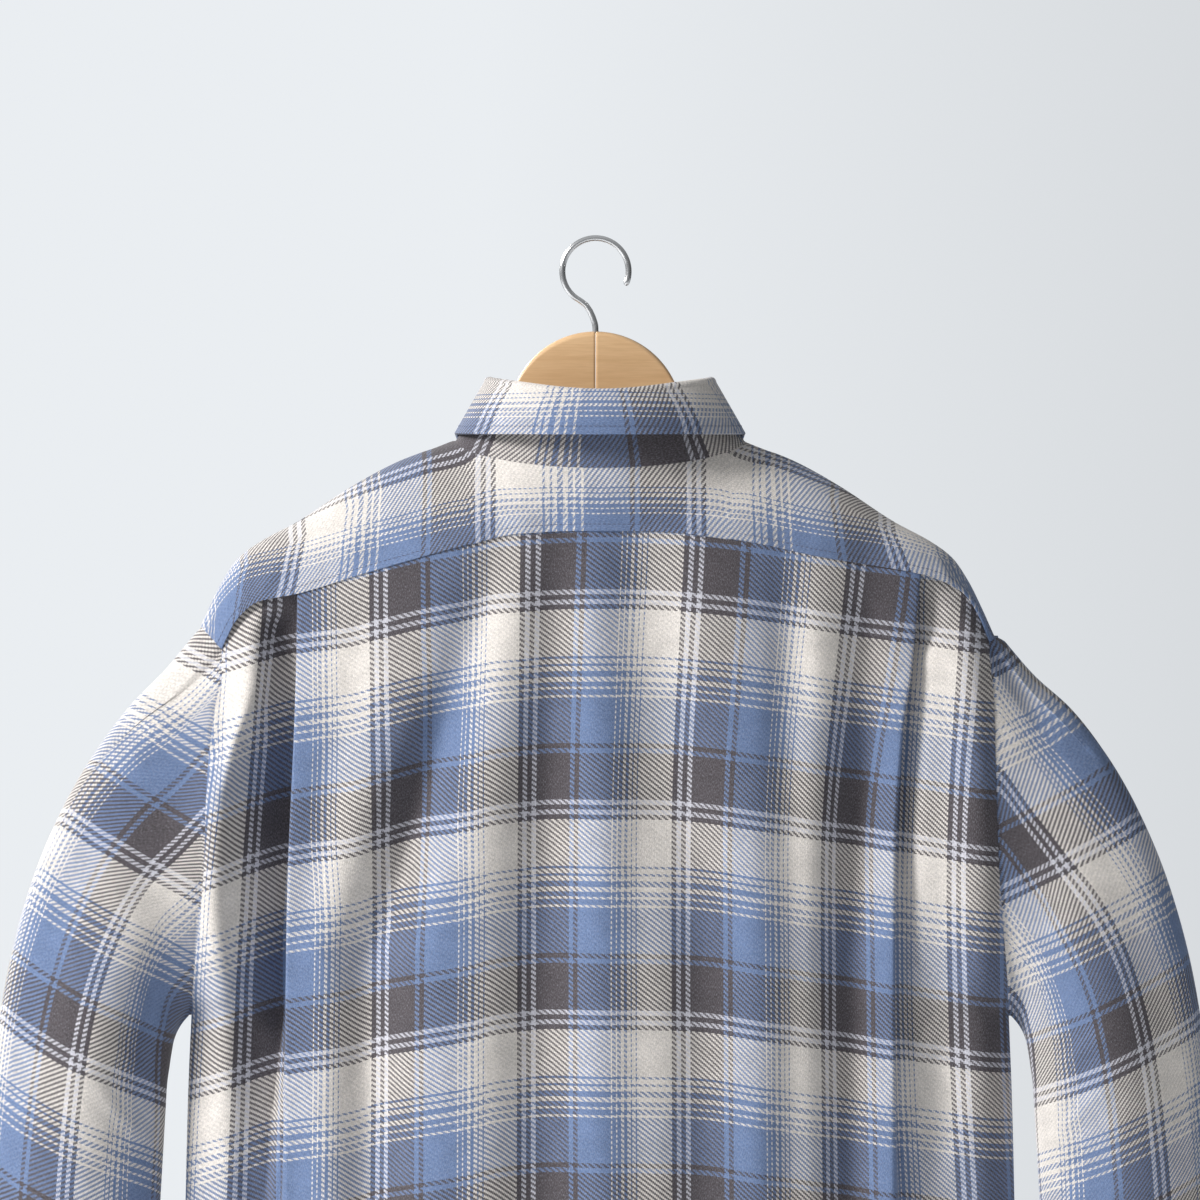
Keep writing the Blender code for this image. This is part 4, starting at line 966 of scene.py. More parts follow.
# %% The leaf
def leaf_edge(angle):
    """The leaf's outer edge: round the back, then down to the two points in front."""
    s, edge = np.sin(angle), LEAF_EDGE_BACK
    back = np.stack([edge["x"] * np.cos(angle), edge["y"] * s, edge["z"] + edge["rise"] * np.abs(s)], -1)
    reach = np.degrees(np.arcsin(np.clip(-s, 0, 1)))
    front = np.stack([read(LEAF_POINT, c, reach, "a") for c in "xyz"], -1)
    front[..., 0] *= np.sign(np.cos(angle))
    return np.where((s >= 0)[..., None], back, front)


def leaf_grid(along_n=280, fall_n=34, turn_n=14):
    """Up from the stand, over the fold and down to the free edge."""
    angle = np.linspace(-LEAF_END, math.pi + LEAF_END, along_n + 1)
    way, up = ring_out(angle, FOLD), np.array([0.0, 0.0, 1.0])
    from_end = LEAF_END + math.pi / 2 - np.abs(angle - math.pi / 2)
    at_end = np.clip(1 - from_end / 0.35, 0, 1)
    seam = collar_point(angle, STAND_SHARE + (0.45 + 1.3 * at_end) / COLLAR_HEIGHT)
    middle = collar_point(angle, np.full_like(angle, 1 - ROLL / COLLAR_HEIGHT)) + way * ROLL
    rows = [seam, (seam + middle - way * ROLL) / 2]
    for t in np.radians(np.linspace(180, 0, turn_n + 1)):
        rows.append(middle + ROLL * (math.cos(t) * way + math.sin(t) * up))
    edge, top = leaf_edge(angle), rows[-1]
    for t in np.linspace(0, 1, fall_n + 1)[1:]:
        bulge = LEAF_BULGE * math.sin(math.pi * t) * np.abs(np.sin(angle))[:, None]
        rows.append(top + (edge - top) * t + way * bulge)
    grid = np.array(rows)
    run = arc(grid, axis=0)
    from_edge = run[-1:] - run
    # Round the back the rows of the check follow the free edge; in front they follow the fold.
    side = int(np.argmin(np.abs(angle)))
    extra = np.where(np.sin(angle) < 0, run[-1] - run[-1, side], 0)
    warp = LEAF_WARP + from_edge - extra
    weft = along_weft(grid[-fall_n // 2], angle, LEAF_WEFT)
    return grid, np.stack([warp, np.broadcast_to(weft, warp.shape)], -1)


stand_points, stand_uv = stand_grid()
stand = grid_piece("neck_stand", stand_points, stand_uv, DOUBLE, cross_flannel)
stands_for("collar_stand")
leaf_points, leaf_uv = leaf_grid()
leaf = grid_piece("collar_fall", leaf_points, leaf_uv, DOUBLE - 0.2, cross_flannel)
stands_for("collar_leaf")

# %% [markdown]
# A sleeve is a tube that starts as the armhole's ring and ends as the cuff's. Its first ring lies under
# the panels' edges, as a set-in sleeve's does. Long folds run down it, and it is gathered a little
# where the cuff takes it in.

# %% Sizes of the sleeves
SLEEVE = table("row ix iz ox oz half", (0, 273.8, -515, 259.4, -255, 29),
               (1, 280, -522, 284, -283, 33), (2, 284, -528, 311, -308, 37),
               (3, 287, -536, 336, -341, 40), (4, 289, -546, 359, -383, 42),
               (5, 291, -560, 379, -434, 43), (6, 292, -580, 394, -492, 43),
               (7, 293, -606, 404, -556, 42), (8, 295, -650, 411, -628, 41),
               (9, 298, -702, 414, -698, 39), (10, 302, -756, 413, -756, 35),
               (11, 305, -785, 411, -785, 31))
CUFF = table("z ix ox half", (-850, 308, 410, 27), (-785.3, 305, 411, 30.5))
RIPPLE, RIPPLES = 0.06, 5
GATHER, GATHERS = 1.1, 26  # height and number of the gathers over the cuff
SLEEVE_LENGTH, TUCK_LENGTH = 560.0, 7.0  # of the sleeve, and of its part under the panels' edges
ARMHOLE_LAP, ARMHOLE_SINK = 1.2, 1.25  # how far that part lies inside the edges, and under them
ARMHOLE_REACH = 3.4  # how soon the sleeve leaves the armhole's form
SLEEVE_DOWN = (0.42, 0.0, -0.91)  # along which the weft is counted at the armhole
SLEEVE_WARP, SLEEVE_WEFT = 40.0, 9.0
CUFF_TOP, CUFF_STITCH, CUFF_BUTTON_Z = CUFF["z"][1] + 1.4, 6.0, -817.0
CUFF_BUTTON, CUFF_LAP_ANGLE, CUFF_LAP, CUFF_LAP_FADE = math.radians(50), math.radians(24), 1.7, 1.2
# Creases of a sleeve by the angle round it in tenths of a radian and the share of its length in
# hundredths
SLEEVE_CREASES = table(
    "x1 z1 x2 z2 size width", (2, 4, 8, 40, 2.2, 1.6), (12, 6, 20, 36, -2.0, 1.8),
    (26, 3, 22, 30, 2.0, 1.8), (40, 3, 46, 34, 2.0, 1.8), (52, 6, 47, 30, -1.8, 1.8),
    (5, 46, 20, 54, 2.6, 1.6), (18, 56, 4, 63, 2.4, 1.6), (34, 48, 50, 56, 2.2, 1.6),
    (52, 58, 36, 66, 2.2, 1.6), (8, 66, 12, 94, 2.0, 1.6), (24, 70, 27, 97, -2.0, 1.6),
    (44, 68, 40, 96, 2.0, 1.6), (57, 66, 58, 94, -1.8, 1.6), (32, 60, 30, 92, 1.8, 1.6))


# %% The sleeves
def armhole(sign, shoulder):
    """The armhole's points, up the back edge and down the front one, with the ways out of its edge."""
    up = ROWS >= 0
    back_part = back_points[up][:, ::sign]
    front_part = fronts["left" if sign > 0 else "right"][up][::-1]
    ring = np.concatenate([back_part[:, 0], shoulder[1:-1, 0], front_part[:-1, 0]])
    behind = np.concatenate([back_part[:, 3], shoulder[1:-1, 3], front_part[:-1, 3]])
    return ring, unit(ring - behind)


def thin_ring(ring, ways, count):
    """Even stations round the ring."""
    closed = np.concatenate([ring, ring[:1]])
    run = arc(closed)
    at = np.linspace(0, run[-1], count + 1)[:-1]
    pick = [np.interp(at, run, closed[:, k]) for k in range(3)]
    ways = np.concatenate([ways, ways[:1]])
    lean = [np.interp(at, run, ways[:, k]) for k in range(3)]
    return np.stack(pick, 1), unit(np.stack(lean, 1))


def sleeve_grid(sign, ring, ways, rows=176):
    """The sleeve, from the armhole's ring down to the cuff."""
    flip = np.array([sign, 1, 1])
    flat, ways = ring * flip, ways * flip
    inner = np.array([SLEEVE["ix"][0], 0, SLEEVE["iz"][0]])
    axis = np.array([SLEEVE["ox"][0], 0, SLEEVE["oz"][0]]) - inner
    height = (flat - inner) @ axis / (axis @ axis)
    own = np.arctan2(flat[:, 1] / SLEEVE["half"][0], 2 * height - 1)
    own = np.unwrap(own - own[0])
    even = np.linspace(0, 2 * math.pi, len(ring) + 1)[:-1] * np.sign(own[-1])
    centre = inner + axis * height[:, None]
    inward = centre - flat
    inward = unit(inward - np.sum(inward * ways, -1, keepdims=True) * ways)
    low_part = np.clip(1 - height * 6, 0, 1)[:, None]
    grid = []
    for t in np.linspace(0, 1, rows) ** 1.25:
        row = t * SLEEVE["row"][-1]
        ix, iz, ox, oz, half = read_all(SLEEVE, "ix iz ox oz half", row, "row")
        low, high = np.array([ix, 0, iz]), np.array([ox, 0, oz])
        angle = own + (even - own) * smooth_step(t * 1.6)
        depth = RIPPLE * math.sin(math.pi * min(t * 1.15, 1))
        ripple = 1 + depth * np.cos(RIPPLES * angle + 0.6 + 1.6 * t)
        round_ = np.mod(np.abs(angle) * 10, 20 * math.pi)
        crease = creases(SLEEVE_CREASES, round_, np.full_like(angle, t * 100))
        near_cuff = smooth_step((t - 0.93) / 0.05)
        gather = GATHER * near_cuff * np.cos(GATHERS * angle) * (1 - smooth_step((t - 0.985) / 0.02))
        ripple = ripple + (crease + gather) / (half + 15)
        share = (1 - np.cos(angle) * ripple) / 2
        side = np.sin(angle) * ripple * half * np.sign(own[-1])
        shape = low + (high - low) * share[:, None] + np.array([0, 1, 0]) * side[:, None]
        keep = 1 - smooth_step(t * ARMHOLE_REACH)
        tuck = 1 - smooth_step(t * SLEEVE_LENGTH / TUCK_LENGTH)
        lap = ARMHOLE_LAP * (1 - tuck) - ARMHOLE_LAP * tuck
        seam = flat - centre + ways * lap + inward * (ARMHOLE_SINK * tuck)
        seam = seam + np.array([ARMHOLE_LAP, 0, 0]) * low_part * (1 - tuck)
        own_shape = low + (high - low) * height[:, None] + seam
        grid.append(shape * (1 - keep) + own_shape * keep)
    return np.array(grid) * flip


def sleeve_uv(grid, sign):
    """Warp runs round the sleeve, weft across it: both square to its own length."""
    down = unit(np.array(SLEEVE_DOWN) * [sign, 1, 1])
    weft = grid[0] @ down + arc(grid, axis=0)
    shut = np.concatenate([grid, grid[:, :1]], axis=1)
    run = arc(shut, axis=1)
    middle = run[len(run) // 2]
    scale = np.linspace(0.35, 1, len(run))[:, None]
    warp = middle[None, :] * (1 - scale * 0.08)
    weft = np.concatenate([weft, weft[:, :1]], axis=1)
    return np.stack([warp * sign + SLEEVE_WARP, weft - WEFT_START + SLEEVE_WEFT], -1)


SLEEVE_AROUND = 188
sleeve_rings = {}
for name, sign in SIDES:
    ring, ways = thin_ring(*armhole(sign, yoke_shoulders[sign]), SLEEVE_AROUND)
    points = sleeve_grid(sign, ring, ways)
    sleeve_rings[name] = points
    piece = grid_piece(f"{name}_sleeve", points, sleeve_uv(points, sign), CLOTH, body_flannel,
                       closed=True, flip=sign > 0)
    stands_for(f"sleeve_{name}")


# %% The cuffs
def cuff_grid(sign, along_n=170, rows=30):
    """A buttoned band whose outer end laps over its inner one at the back."""
    first = CUFF_BUTTON - CUFF_LAP_ANGLE / 2
    angle = np.linspace(first, first + 2 * math.pi + CUFF_LAP_ANGLE, along_n + 1)
    outer_end = 1 - smooth_step((angle - angle[0]) / CUFF_LAP_FADE)
    inner_end = 1 - smooth_step((angle[-1] - angle) / CUFF_LAP_FADE)
    push = CUFF_LAP * (outer_end - inner_end)
    z = np.linspace(CUFF_TOP, CUFF["z"][0], rows)[:, None]
    ix, ox, half = (read(CUFF, c, z) for c in ("ix", "ox", "half"))
    edge = np.minimum(CUFF_TOP - z, z - CUFF["z"][0])
    roll = 0.8 * smooth_step(edge / 4) - 0.5 * np.exp(-((edge - CUFF_STITCH) / 1.4) ** 2) + 0.5
    x = (ix + ox) / 2 + ((ox - ix) / 2 + push + roll) * np.cos(angle)
    grid = np.stack([sign * x, (half + push + roll) * np.sin(angle), np.broadcast_to(z, x.shape)], -1)
    warp = -sign * arc(grid, axis=1)
    weft = -grid[..., 2] - WEFT_START
    return grid, np.stack([warp, weft], -1)


cuffs = {}
for name, sign in SIDES:
    points, uv = cuff_grid(sign)
    cuffs[name] = points
    piece = grid_piece(f"{name}_cuff", points, uv, DOUBLE, body_flannel, flip=sign > 0)
    stands_for(f"cuff_{name}")

# %% [markdown]
# Topstitching is the same small loop of thread hundreds of times along a seam, which is work for
# Geometry Nodes: resample each seam line by the stitch's length, set a thin bead on each point along
# the line's own direction, make the copies real and give them the thread's finish.


# %% A tree that sews along curves
def sewing_tree(thread):
    tree = bpy.data.node_groups.new("sewing", "GeometryNodeTree")
    tree.is_modifier = True
    face = tree.interface
    face.new_socket("Geometry", in_out="INPUT", socket_type="NodeSocketGeometry")
    for title, value in (("Stitch pitch", 0.0032), ("Stitch length", 0.0023), ("Thread thickness", 0.00055)):
        socket = face.new_socket(title, in_out="INPUT", socket_type="NodeSocketFloat")
        socket.default_value = value
    face.new_socket("Geometry", in_out="OUTPUT", socket_type="NodeSocketGeometry")
    add, link = tree.nodes.new, tree.links.new
    start, end = add("NodeGroupInput"), add("NodeGroupOutput")
    resample = add("GeometryNodeResampleCurve")
    resample.mode = "LENGTH"
    link(start.outputs["Geometry"], resample.inputs["Curve"])
    link(start.outputs["Stitch pitch"], resample.inputs["Length"])
    bead = add("GeometryNodeMeshUVSphere")
    bead.inputs["Segments"].default_value = 6
    bead.inputs["Rings"].default_value = 4
    bead.inputs["Radius"].default_value = 0.5
    size = add("ShaderNodeCombineXYZ")
    for axis, title in zip("XYZ", ("Thread thickness", "Thread thickness", "Stitch length")):
        link(start.outputs[title], size.inputs[axis])
    tangent = add("GeometryNodeInputTangent")
    align = add("FunctionNodeAlignRotationToVector")
    align.axis = "Z"
    link(tangent.outputs[0], align.inputs["Vector"])
    place = add("GeometryNodeInstanceOnPoints")
    link(resample.outputs["Curve"], place.inputs["Points"])
    link(bead.outputs["Mesh"], place.inputs["Instance"])
    link(align.outputs[0], place.inputs["Rotation"])
    link(size.outputs[0], place.inputs["Scale"])
    real = add("GeometryNodeRealizeInstances")
    link(place.outputs[0], real.inputs[0])
    finish = add("GeometryNodeSetMaterial")
    finish.inputs["Material"].default_value = thread
    link(real.outputs[0], finish.inputs["Geometry"])
    link(finish.outputs[0], end.inputs[0])
    return tree


def sew(name, lines, tree, **sizes):
    """Stitches along lines of points in millimetres, as one plain mesh."""
    curve = bpy.data.curves.new(name + "_lines", "CURVE")
    curve.dimensions = "3D"
    for line in lines:
        line = (np.asarray(line) + [SHIRT_X, 0, 0]) * MM
        spline = curve.splines.new("POLY")
        spline.points.add(len(line) - 1)
        spline.points.foreach_set("co", np.concatenate([line, np.ones((len(line), 1))], 1).ravel())
    blank = bpy.data.objects.new(name + "_blank", curve)
    link_object(blank)
    nodes = blank.modifiers.new("sewing", "NODES")
    nodes.node_group = tree
    for item in tree.interface.items_tree:
        if item.in_out == "INPUT" and item.name in sizes:
            nodes[item.identifier] = sizes[item.name]
    made = plain_mesh(blank, name)
    made.shade_smooth()
    piece = bpy.data.objects.new(name, made)
    link_object(piece)
    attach(piece, BODY)
    made.calc_loop_triangles()
    print(f"{name}: {len(lines)} lines, {len(made.loop_triangles)} triangles")


# %% Lines of topstitching
YOKE_STITCH, LEAF_STITCH, HEM_STITCH = 4.5, 5.5, 8.5  # from the folded edge to the stitches
UP, BACKWARDS = np.array([0.0, 0.0, 1.0]), np.array([0.0, 1.0, 0.0])


def edge_line(grid, distance, lift, outward):
    """A line at a distance from a grid's first row, lifted off the cloth's outer face."""
    normal = rise_normals(grid)
    side = np.sign(np.sum(normal * outward, -1, keepdims=True))
    raised, run = grid + normal * side * lift, arc(grid)
    return np.array([[np.interp(distance, run[:, c], raised[:, c, k]) for k in range(3)]
                     for c in range(grid.shape[1])])


def both_edges(grid, distance, lift, outward):
    return [edge_line(grid, distance, lift, outward), edge_line(grid[::-1], distance, lift, outward[::-1])]


lines = []
lift = CLOTH / 2 + 0.12
for sign in (1, -1):
    shoulder = yoke_shoulders[sign]
    lines += both_edges(shoulder, YOKE_STITCH, lift, np.sign(shoulder[..., 1:2]) * BACKWARDS + 0.6 * UP)
lines.append(edge_line(yoke_strip, YOKE_STITCH, lift, BACKWARDS))
leaf_up = leaf_points[::-1]
leaf_out = leaf_up.copy()
leaf_out[..., 2] = 12
lines.append(edge_line(leaf_up, LEAF_STITCH, DOUBLE / 2 + 0.05, leaf_out)[6:-6])
for name, cuff in cuffs.items():
    lines.append(edge_line(fronts[name], HEM_STITCH, lift, -BACKWARDS))
    away = (cuff - [cuff[..., 0].mean(), 0, 0]) * [1, 1, 0]
    lines += both_edges(cuff, CUFF_STITCH, DOUBLE / 2 + 0.1, away)
lines.append(edge_line(back_points, HEM_STITCH, lift, BACKWARDS))
for edge in (PLACKET_OUT + BAND_STITCH, PLACKET_IN - BAND_STITCH):
    lines.append(placket_points[2:-2, np.argmin(np.abs(band_x - edge))] - [0, lift, 0])
sewing = sewing_tree(seam_thread)
sew("topstitching", lines, sewing, **{"Stitch pitch": 0.0032})

# %% [markdown]
# A shirt button is a small dished disc with a rim and four holes. It is turned like a bowl from its
# outline, the holes are drilled by a Boolean, and two pairs of thread strands hold it on.

# %% The buttons
BUTTON_R, BUTTON_T = 5.6, 2.6
BUTTONS = 6
HOLE_R, HOLE_AT = 0.75, 1.35
THREAD_R, THREAD_APART = 0.22, 0.16  # a strand, and how far it lies off the holes' middle line
THREAD_DEEP, THREAD_BOW = 0.9, 1.5  # how far its ends go down the holes, and its rise over them
OUTLINE = ((0.0, 0.0), (0.72, 0.0), (0.92, 0.06), (1.0, 0.28), (1.0, 0.58), (0.97, 0.86), (0.9, 0.99),
           (0.82, 1.0), (0.74, 0.92), (0.64, 0.72), (0.52, 0.62), (0.0, 0.6))


def turned(outline, sides):
    """Points and faces of a closed turned form with its axis along z."""
    points, faces = [(0, 0, outline[0][1])], []
    for r, z in outline[1:-1]:
        points += [(r * math.cos(2 * math.pi * k / sides), r * math.sin(2 * math.pi * k / sides), z)
                   for k in range(sides)]
    points.append((0, 0, outline[-1][1]))
    rings = len(outline) - 2
    for k in range(sides):
        n = (k + 1) % sides
        faces.append((0, 1 + n, 1 + k))
        faces += [(1 + r * sides + k, 1 + r * sides + n, 1 + (r + 1) * sides + n, 1 + (r + 1) * sides + k)
                  for r in range(rings - 1)]
        faces.append((len(points) - 1, 1 + (rings - 1) * sides + k, 1 + (rings - 1) * sides + n))
    return points, faces


def new_object(name, points, faces, material):
    mesh = bpy.data.meshes.new(name)
    mesh.from_pydata([tuple(p) for p in points], [], faces)
    made = bpy.data.objects.new(name, mesh)
    link_object(made)
    mesh.materials.append(material)
    return made


def button_blank():
    outline = [(r * BUTTON_R * MM, z * BUTTON_T * MM) for r, z in OUTLINE]
    disc = new_object("button_blank", *turned(outline, 40), button_horn)
    drill = new_object("drill", [], [], button_horn)
    shape = bmesh.new()
    for sx, sy in ((1, 1), (-1, 1), (-1, -1), (1, -1)):
        bmesh.ops.create_cone(shape, cap_ends=True, segments=14, radius1=HOLE_R * MM, radius2=HOLE_R * MM,
                              depth=4 * BUTTON_T * MM)
        bmesh.ops.translate(shape, verts=shape.verts[-28:], vec=(sx * HOLE_AT * MM, sy * HOLE_AT * MM, 0))
    shape.to_mesh(drill.data)
    shape.free()
    cut = disc.modifiers.new("holes", "BOOLEAN")
    cut.operation, cut.object, cut.solver = "DIFFERENCE", drill, "EXACT"
    mesh = bpy.data.meshes.new_from_object(disc.evaluated_get(bpy.context.evaluated_depsgraph_get()))
    for spare in (disc, drill):
        bpy.data.objects.remove(spare, do_unlink=True)
    mesh.shade_smooth()
    mesh.set_sharp_from_angle(angle=math.radians(45))
    return mesh


def strand(ends, radius, sides=6, steps=8):
    """A bow of thread over the button's face between two holes, down into each."""
    (ax, ay), (bx, by) = ends
    top = 0.62 * BUTTON_T * MM
    points, faces = [], []
    way = unit(np.array([bx - ax, by - ay, 0.0]))
    flat = np.array([-way[1], way[0], 0.0])
    for k in range(steps + 1):
        t = k / steps
        centre = np.array([ax + (bx - ax) * t, ay + (by - ay) * t,
                           (top - THREAD_DEEP * MM) + THREAD_BOW * MM * math.sin(math.pi * t) ** 0.6])
        slope = math.cos(math.pi * t) * 1.2
        tangent = unit(way + np.array([0, 0, slope]))
        up = np.cross(tangent, flat)
        for s in range(sides):
            a = 2 * math.pi * s / sides
            points.append(centre + radius * (math.cos(a) * flat + math.sin(a) * up))
    for k in range(steps):
        for s in range(sides):
            n = (s + 1) % sides
            faces.append((k * sides + s, k * sides + n, (k + 1) * sides + n, (k + 1) * sides + s))
    faces += [tuple(range(sides))[::-1], tuple(steps * sides + s for s in range(sides))]
    return points, faces


BUTTON_MESH = button_blank()


# %% Sewing the buttons on
def sewn_button(name, node, place, way):
    """A copy of the button with its thread, seated at a place and facing a way."""
    way = Vector(way).normalized()
    pose = way.to_track_quat("Z", "Y").to_matrix().to_4x4()
    pose.translation = Vector(place) * MM
    disc = bpy.data.objects.new(name, BUTTON_MESH.copy())
    link_object(disc)
    disc.data.materials.append(button_thread)
    shape = bmesh.new()
    shape.from_mesh(disc.data)
    h = HOLE_AT * MM
    for dx in (-THREAD_APART, THREAD_APART):
        for x in (-h, h):
            points, faces = strand(((x + dx * MM, -h), (x + dx * MM, h)), THREAD_R * MM)
            made = [shape.verts.new(p) for p in points]
            for face in faces:
                shape.faces.new([made[i] for i in face]).material_index = 1
    bmesh.ops.transform(shape, matrix=pose, verts=shape.verts)
    bmesh.ops.recalc_face_normals(shape, faces=shape.faces)
    shape.to_mesh(disc.data)
    shape.free()
    for face in disc.data.polygons:
        face.use_smooth = True
    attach(disc, BODY)
    stands_for(node)


def box_middle(node):
    low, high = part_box(node)
    return (np.array(low) + np.array(high)) / 2 / MM


for k in range(BUTTONS):
    middle = box_middle(f"button_{k + 1}")
    sewn_button(f"front_button_{k + 1}", f"button_{k + 1}", middle + [0, BUTTON_T / 2, 0], (0, -1, 0))
throat = box_middle("button_collar")
low, high = collar_point(np.array([-math.pi / 2] * 2), np.array([0.36, 0.46]))
rise = high - low
throat_way = unit(np.array([0.0, -rise[2], rise[1]]))
sewn_button("throat_button", "button_collar", throat - throat_way * BUTTON_T / 2, throat_way)
ix, ox, half = read_all(CUFF, "ix ox half", CUFF_BUTTON_Z)
cuff_ways = {}
for name, sign in SIDES:
    slope = [sign * math.cos(CUFF_BUTTON) * 2 / (ox - ix), math.sin(CUFF_BUTTON) / half, 0.0]
    cuff_ways[name] = way = unit(np.array(slope))
    sewn_button(f"{name}_cuff_button", f"button_cuff_{name}",
                box_middle(f"button_cuff_{name}") - way * (BUTTON_T / 2 - 0.3), way)
print("buttons:", BUTTONS + 3)

# %% [markdown]
# A buttonhole is a slit with close stitches round it, a little longer than its button. It stands
# upright in the placket and lies level in the stand and the cuffs. A fastened button sits near one
# end, so only the other end shows. The tree that sewed the seams makes them, with other sizes.

# %% The buttonholes
SLIT_NEAR, SLIT_FAR, SLIT_HALF = -3.0, 11.0, 0.9
SLIT_ROW = 14  # the row of the stand and the cuffs on which the slits lie


def buttonhole(line, button, across, out, lift):
    """A loop of stitches round a slit that runs along a line on the cloth, from the button on."""
    run = arc(line)
    middle = run[np.argmin(np.linalg.norm(line + [SHIRT_X, 0, 0] - button, axis=1))]
    at = middle + np.linspace(SLIT_NEAR, SLIT_FAR, 10)
    slit = np.stack([np.interp(at, run, line[:, k]) for k in range(3)], 1) + np.asarray(out) * lift
    side = np.asarray(across) * SLIT_HALF
    return np.concatenate([slit + side, (slit - side)[::-1], slit[:1] + side])


middle_column = placket_points[::-1, int(np.argmin(np.abs(band_x)))]
slits = [buttonhole(middle_column, box_middle(f"button_{k + 1}"), (1, 0, 0), (0, -1, 0), CLOTH / 2)
         for k in range(BUTTONS)]
slits.append(buttonhole(stand_points[SLIT_ROW, :60], throat, unit(rise), throat_way, DOUBLE / 2))
for name, cuff in cuffs.items():
    button = box_middle(f"button_cuff_{name}")
    slits.append(buttonhole(cuff[SLIT_ROW, :60], button, (0, 0, 1), cuff_ways[name], DOUBLE / 2))
sew("buttonholes", slits, sewing,
    **{"Stitch pitch": 0.0005, "Stitch length": 0.0004, "Thread thickness": 0.0011})

# %% [markdown]
# The hanger's two halves are sawn from a board, rounded over and butted together. Each is lofted from
# upright sections whose corners are quarter circles.

# %% The hanger and its hook
APEX_R, APEX_CENTRE_Z, WOOD_HALF, WOOD_ROUND = 58.0, -118.0, 6.0, 3.5
ARM = table("x top low", (0, -60, -150), (56, -103, -156), (66, -122, -160), (80, -133, -165),
            (100, -139.5, -172), (132, -149.9, -184), (165, -167.7, -201), (198, -189.2, -219),
            (216, -200, -228), (224, -210, -227))
TIP_X, TIP_TAPER, JOINT_GAP, JOINT_EASE = 216.0, 2.5, 0.12, 0.5
WIRE_R, HOOK_R, HOOK_CENTRE_Z = 2.0, 22.0, -20.0
HOOK_START, HOOK_END = math.radians(-62), math.radians(205)


def arm_section(x, corner=6):
    top = APEX_CENTRE_Z + math.sqrt(APEX_R ** 2 - x * x) if x < 56 else float(read(ARM, "top", x, "x"))
    low = float(read(ARM, "low", x, "x"))
    half = WOOD_HALF - TIP_TAPER * max(x - TIP_X, 0) / (ARM["x"][-1] - TIP_X)
    ease = JOINT_EASE * (1 - min(x / 0.8, 1))
    half, top, low = half - ease, top - ease, low + ease
    round_ = min(WOOD_ROUND, half - 0.5, (top - low) / 2 - 0.5)
    points = []
    for sy, sz, first in ((1, 1, 0), (-1, 1, 90), (-1, -1, 180), (1, -1, 270)):
        cy, cz = sy * (half - round_), (top - round_ if sz > 0 else low + round_)
        for turn in np.radians(first + np.linspace(0, 90, corner + 1)):
            points.append((x, cy + round_ * math.cos(turn), cz + round_ * math.sin(turn)))
    return points


def recalculated(made):
    shape = bmesh.new()
    shape.from_mesh(made.data)
    bmesh.ops.recalc_face_normals(shape, faces=shape.faces)
    shape.to_mesh(made.data)
    shape.free()
    made.data.shade_smooth()
    made.data.set_sharp_from_angle(angle=math.radians(50))


def loft(name, sections, material):
    """A closed form through rings of points in millimetres."""
    count = len(sections[0])
    points = np.array(sections).reshape(-1, 3) * MM
    faces = []
    for r in range(len(sections) - 1):
        for k in range(count):
            n = (k + 1) % count
            faces.append((r * count + k, r * count + n, (r + 1) * count + n, (r + 1) * count + k))
    faces.append(tuple(range(count)))
    faces.append(tuple(range(len(points) - count, len(points)))[::-1])
    made = new_object(name, points, faces, material)
    recalculated(made)
    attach(made, BODY)
    return made


stations = np.concatenate([[JOINT_GAP, 0.5, 0.9], np.linspace(2, 55.9, 40), np.linspace(57, 214, 70),
                           np.linspace(215, 224, 12)])
for name, sign in SIDES:
    sections = [[(sign * x, y, z) for x, y, z in arm_section(s)] for s in stations]
    half_piece = loft(f"{name}_hanger_half", sections, pale_wood)
    stands_for(f"hanger_{name}")

# %% The hook
turns = np.linspace(HOOK_START, HOOK_END, 90)
bend = np.stack([HOOK_R * np.cos(turns), HOOK_CENTRE_Z + HOOK_R * np.sin(turns)], 1)
stem = np.array([(0, -61), (0, -58), (0.15, -56), (0.6, -54), (1.8, -50.5), (3.6, -46.5), (6.4, -42.4)])
route = np.concatenate([stem, bend])
ways = unit(np.gradient(route, axis=0))
ring_turn = np.linspace(0, 2 * math.pi, 25)[:-1]
reach = np.ones(len(route))
reach[-1], reach[-2] = 0.55, 0.9
wire_rings = []
for (x, z), (wx, wz), r in zip(route, ways, reach * WIRE_R):
    wire_rings.append([(x + r * math.cos(a) * wz, r * math.sin(a), z - r * math.cos(a) * wx)
                       for a in ring_turn])
hook = loft("wire_hook", wire_rings, plated_wire)
stands_for("hook")

# %% [markdown]
# Each cloth grid except the yoke's goes to declare, which takes the differences across its cells' diagonals
# and keeps nothing.


def declare(grid):
    """Takes the differences across a grid's cell diagonals; nothing is kept or stated."""
    a, b = grid[1:, 1:] - grid[:-1, :-1], grid[1:, :-1] - grid[:-1, 1:]


declare(back_points)
for side in ("left", "right"):
    declare(fronts[side])
    tube = sleeve_rings[side]
    declare(np.concatenate([tube, tube[:, :1]], axis=1))
    declare(cuffs[side])
declare(placket_points)
declare(stand_points)
declare(leaf_points)

# %% [markdown]
# The floor is a plain pale disc well below the hem.

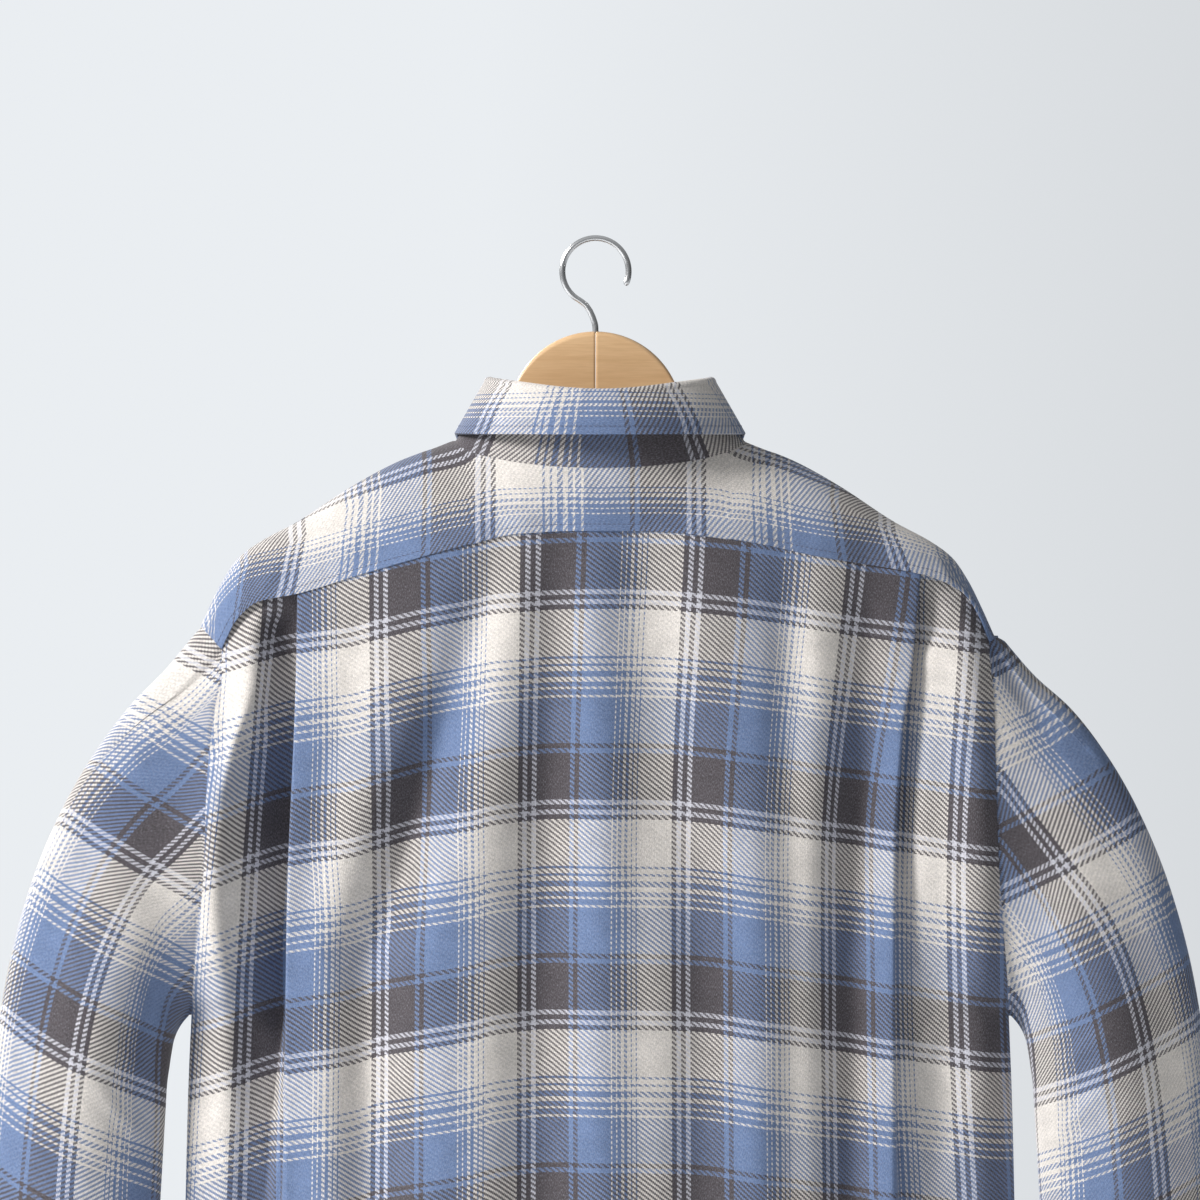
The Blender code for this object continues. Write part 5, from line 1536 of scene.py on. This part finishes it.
# %% The floor
FLOOR_RADIUS, FLOOR_Z = 7.0, -1.60
scene = bpy.context.scene
scene.view_settings.view_transform = "Standard"
scene.view_settings.look = "None"
floor_mesh = bpy.data.meshes.new("floor")
disc = bmesh.new()
bmesh.ops.create_circle(disc, cap_ends=True, segments=96, radius=FLOOR_RADIUS)
disc.to_mesh(floor_mesh)
disc.free()
floor = bpy.data.objects.new("floor", floor_mesh)
floor.location.z = FLOOR_Z
link_object(floor)
floor_finish = Finish("pale_floor", Base_Color=srgb(238, 240, 242), Roughness=0.9)
floor_mesh.materials.append(floor_finish.material)
print("floor at", FLOOR_Z)

# %% [markdown]
# The room's pale air lights the shirt from all round, most from above on the left. What the camera
# sees behind the shirt is brighter than that light, and falls off a little towards the right.

# %% The room's air
BRIGHT_WAY = (0.6, 0.0, 0.8)  # towards the brightest part
AIR_SPAN, AIR_LIGHT = (-0.6, 0.6), (0.07, 0.45)  # cosines of that way, and the strengths there
SEEN_SPAN, SEEN_LIGHT = (-0.067, 0.013), (0.84, 1.01)  # the same for what the camera sees, by X
world = bpy.data.worlds.new("room")
scene.world = world
world.use_nodes = True
air = world.node_tree


def air_node(kind, output, **values):
    """A node of the room with its inputs' values, and one of its outputs."""
    made = air.nodes.new(kind)
    for title, value in values.items():
        made.inputs[title.replace("_", " ")].default_value = value
    return made, made.outputs[output]


def glow(background, value, span, light):
    """A background's strength goes through the range of light while a value goes through its span."""
    ramp, strength = air_node("ShaderNodeMapRange", 0, From_Min=span[0], From_Max=span[1],
                              To_Min=light[0], To_Max=light[1])
    air.links.new(value, ramp.inputs["Value"])
    air.links.new(strength, background.inputs["Strength"])


_, way = air_node("ShaderNodeTexCoord", "Generated")
light_side = air.nodes.new("ShaderNodeVectorMath")
light_side.operation = "DOT_PRODUCT"
light_side.inputs[1].default_value = BRIGHT_WAY
air.links.new(way, light_side.inputs[0])
background = air.nodes["Background"]
background.inputs["Color"].default_value = (0.95, 0.98, 1.0, 1.0)
glow(background, light_side.outputs["Value"], AIR_SPAN, AIR_LIGHT)
seen, _ = air_node("ShaderNodeBackground", 0, Color=(0.815, 0.845, 0.875, 1.0))
split, across = air_node("ShaderNodeSeparateXYZ", "X")
air.links.new(way, split.inputs[0])
glow(seen, across, SEEN_SPAN, SEEN_LIGHT)
_, from_camera = air_node("ShaderNodeLightPath", "Is Camera Ray")
both, _ = air_node("ShaderNodeMixShader", 0)
for source, socket in zip((from_camera, background.outputs[0], seen.outputs[0]), both.inputs):
    air.links.new(source, socket)
air.links.new(both.outputs[0], air.nodes["World Output"].inputs["Surface"])
print("nodes of the room:", len(air.nodes))

# %% [markdown]
# A wide soft light stands to the left, as a window would, and a smaller one lights the shirt's front.

# %% Lights
TARGET = Vector((-0.003, 0.05, -0.2356))
DAYLIGHT = (1.0, 0.99, 0.975)


def soft_light(name, place, target, size, power):
    lamp = bpy.data.lights.new(name, "AREA")
    lamp.shape, lamp.size, lamp.energy, lamp.color = "DISK", size, power, DAYLIGHT
    holder = bpy.data.objects.new(name, lamp)
    holder.location = place
    holder.rotation_euler = (Vector(target) - Vector(place)).to_track_quat("-Z", "Y").to_euler()
    link_object(holder)


soft_light("window", (3.9, 2.25, 1.9), TARGET, 1.4, 270)
soft_light("front_window", (1.5, -1.9, 0.7), (0, 0, -0.45), 1.0, 50)
print("lights:", len(bpy.data.lights))

# %% [markdown]
# The camera looks at the shirt's back from a little above, through a long lens.

# %% The camera
FRAME_WIDTH, DISTANCE, ELEVATION, SENSOR = 0.792, 6.0, math.radians(3.5), 36.0
lens = bpy.data.cameras.new("view")
lens.sensor_width = SENSOR
lens.lens = SENSOR * DISTANCE / FRAME_WIDTH
camera = bpy.data.objects.new("view", lens)
camera.location = TARGET + DISTANCE * Vector((0, math.cos(ELEVATION), math.sin(ELEVATION)))
camera.rotation_euler = (TARGET - camera.location).to_track_quat("-Z", "Y").to_euler()
link_object(camera)
scene.camera = camera
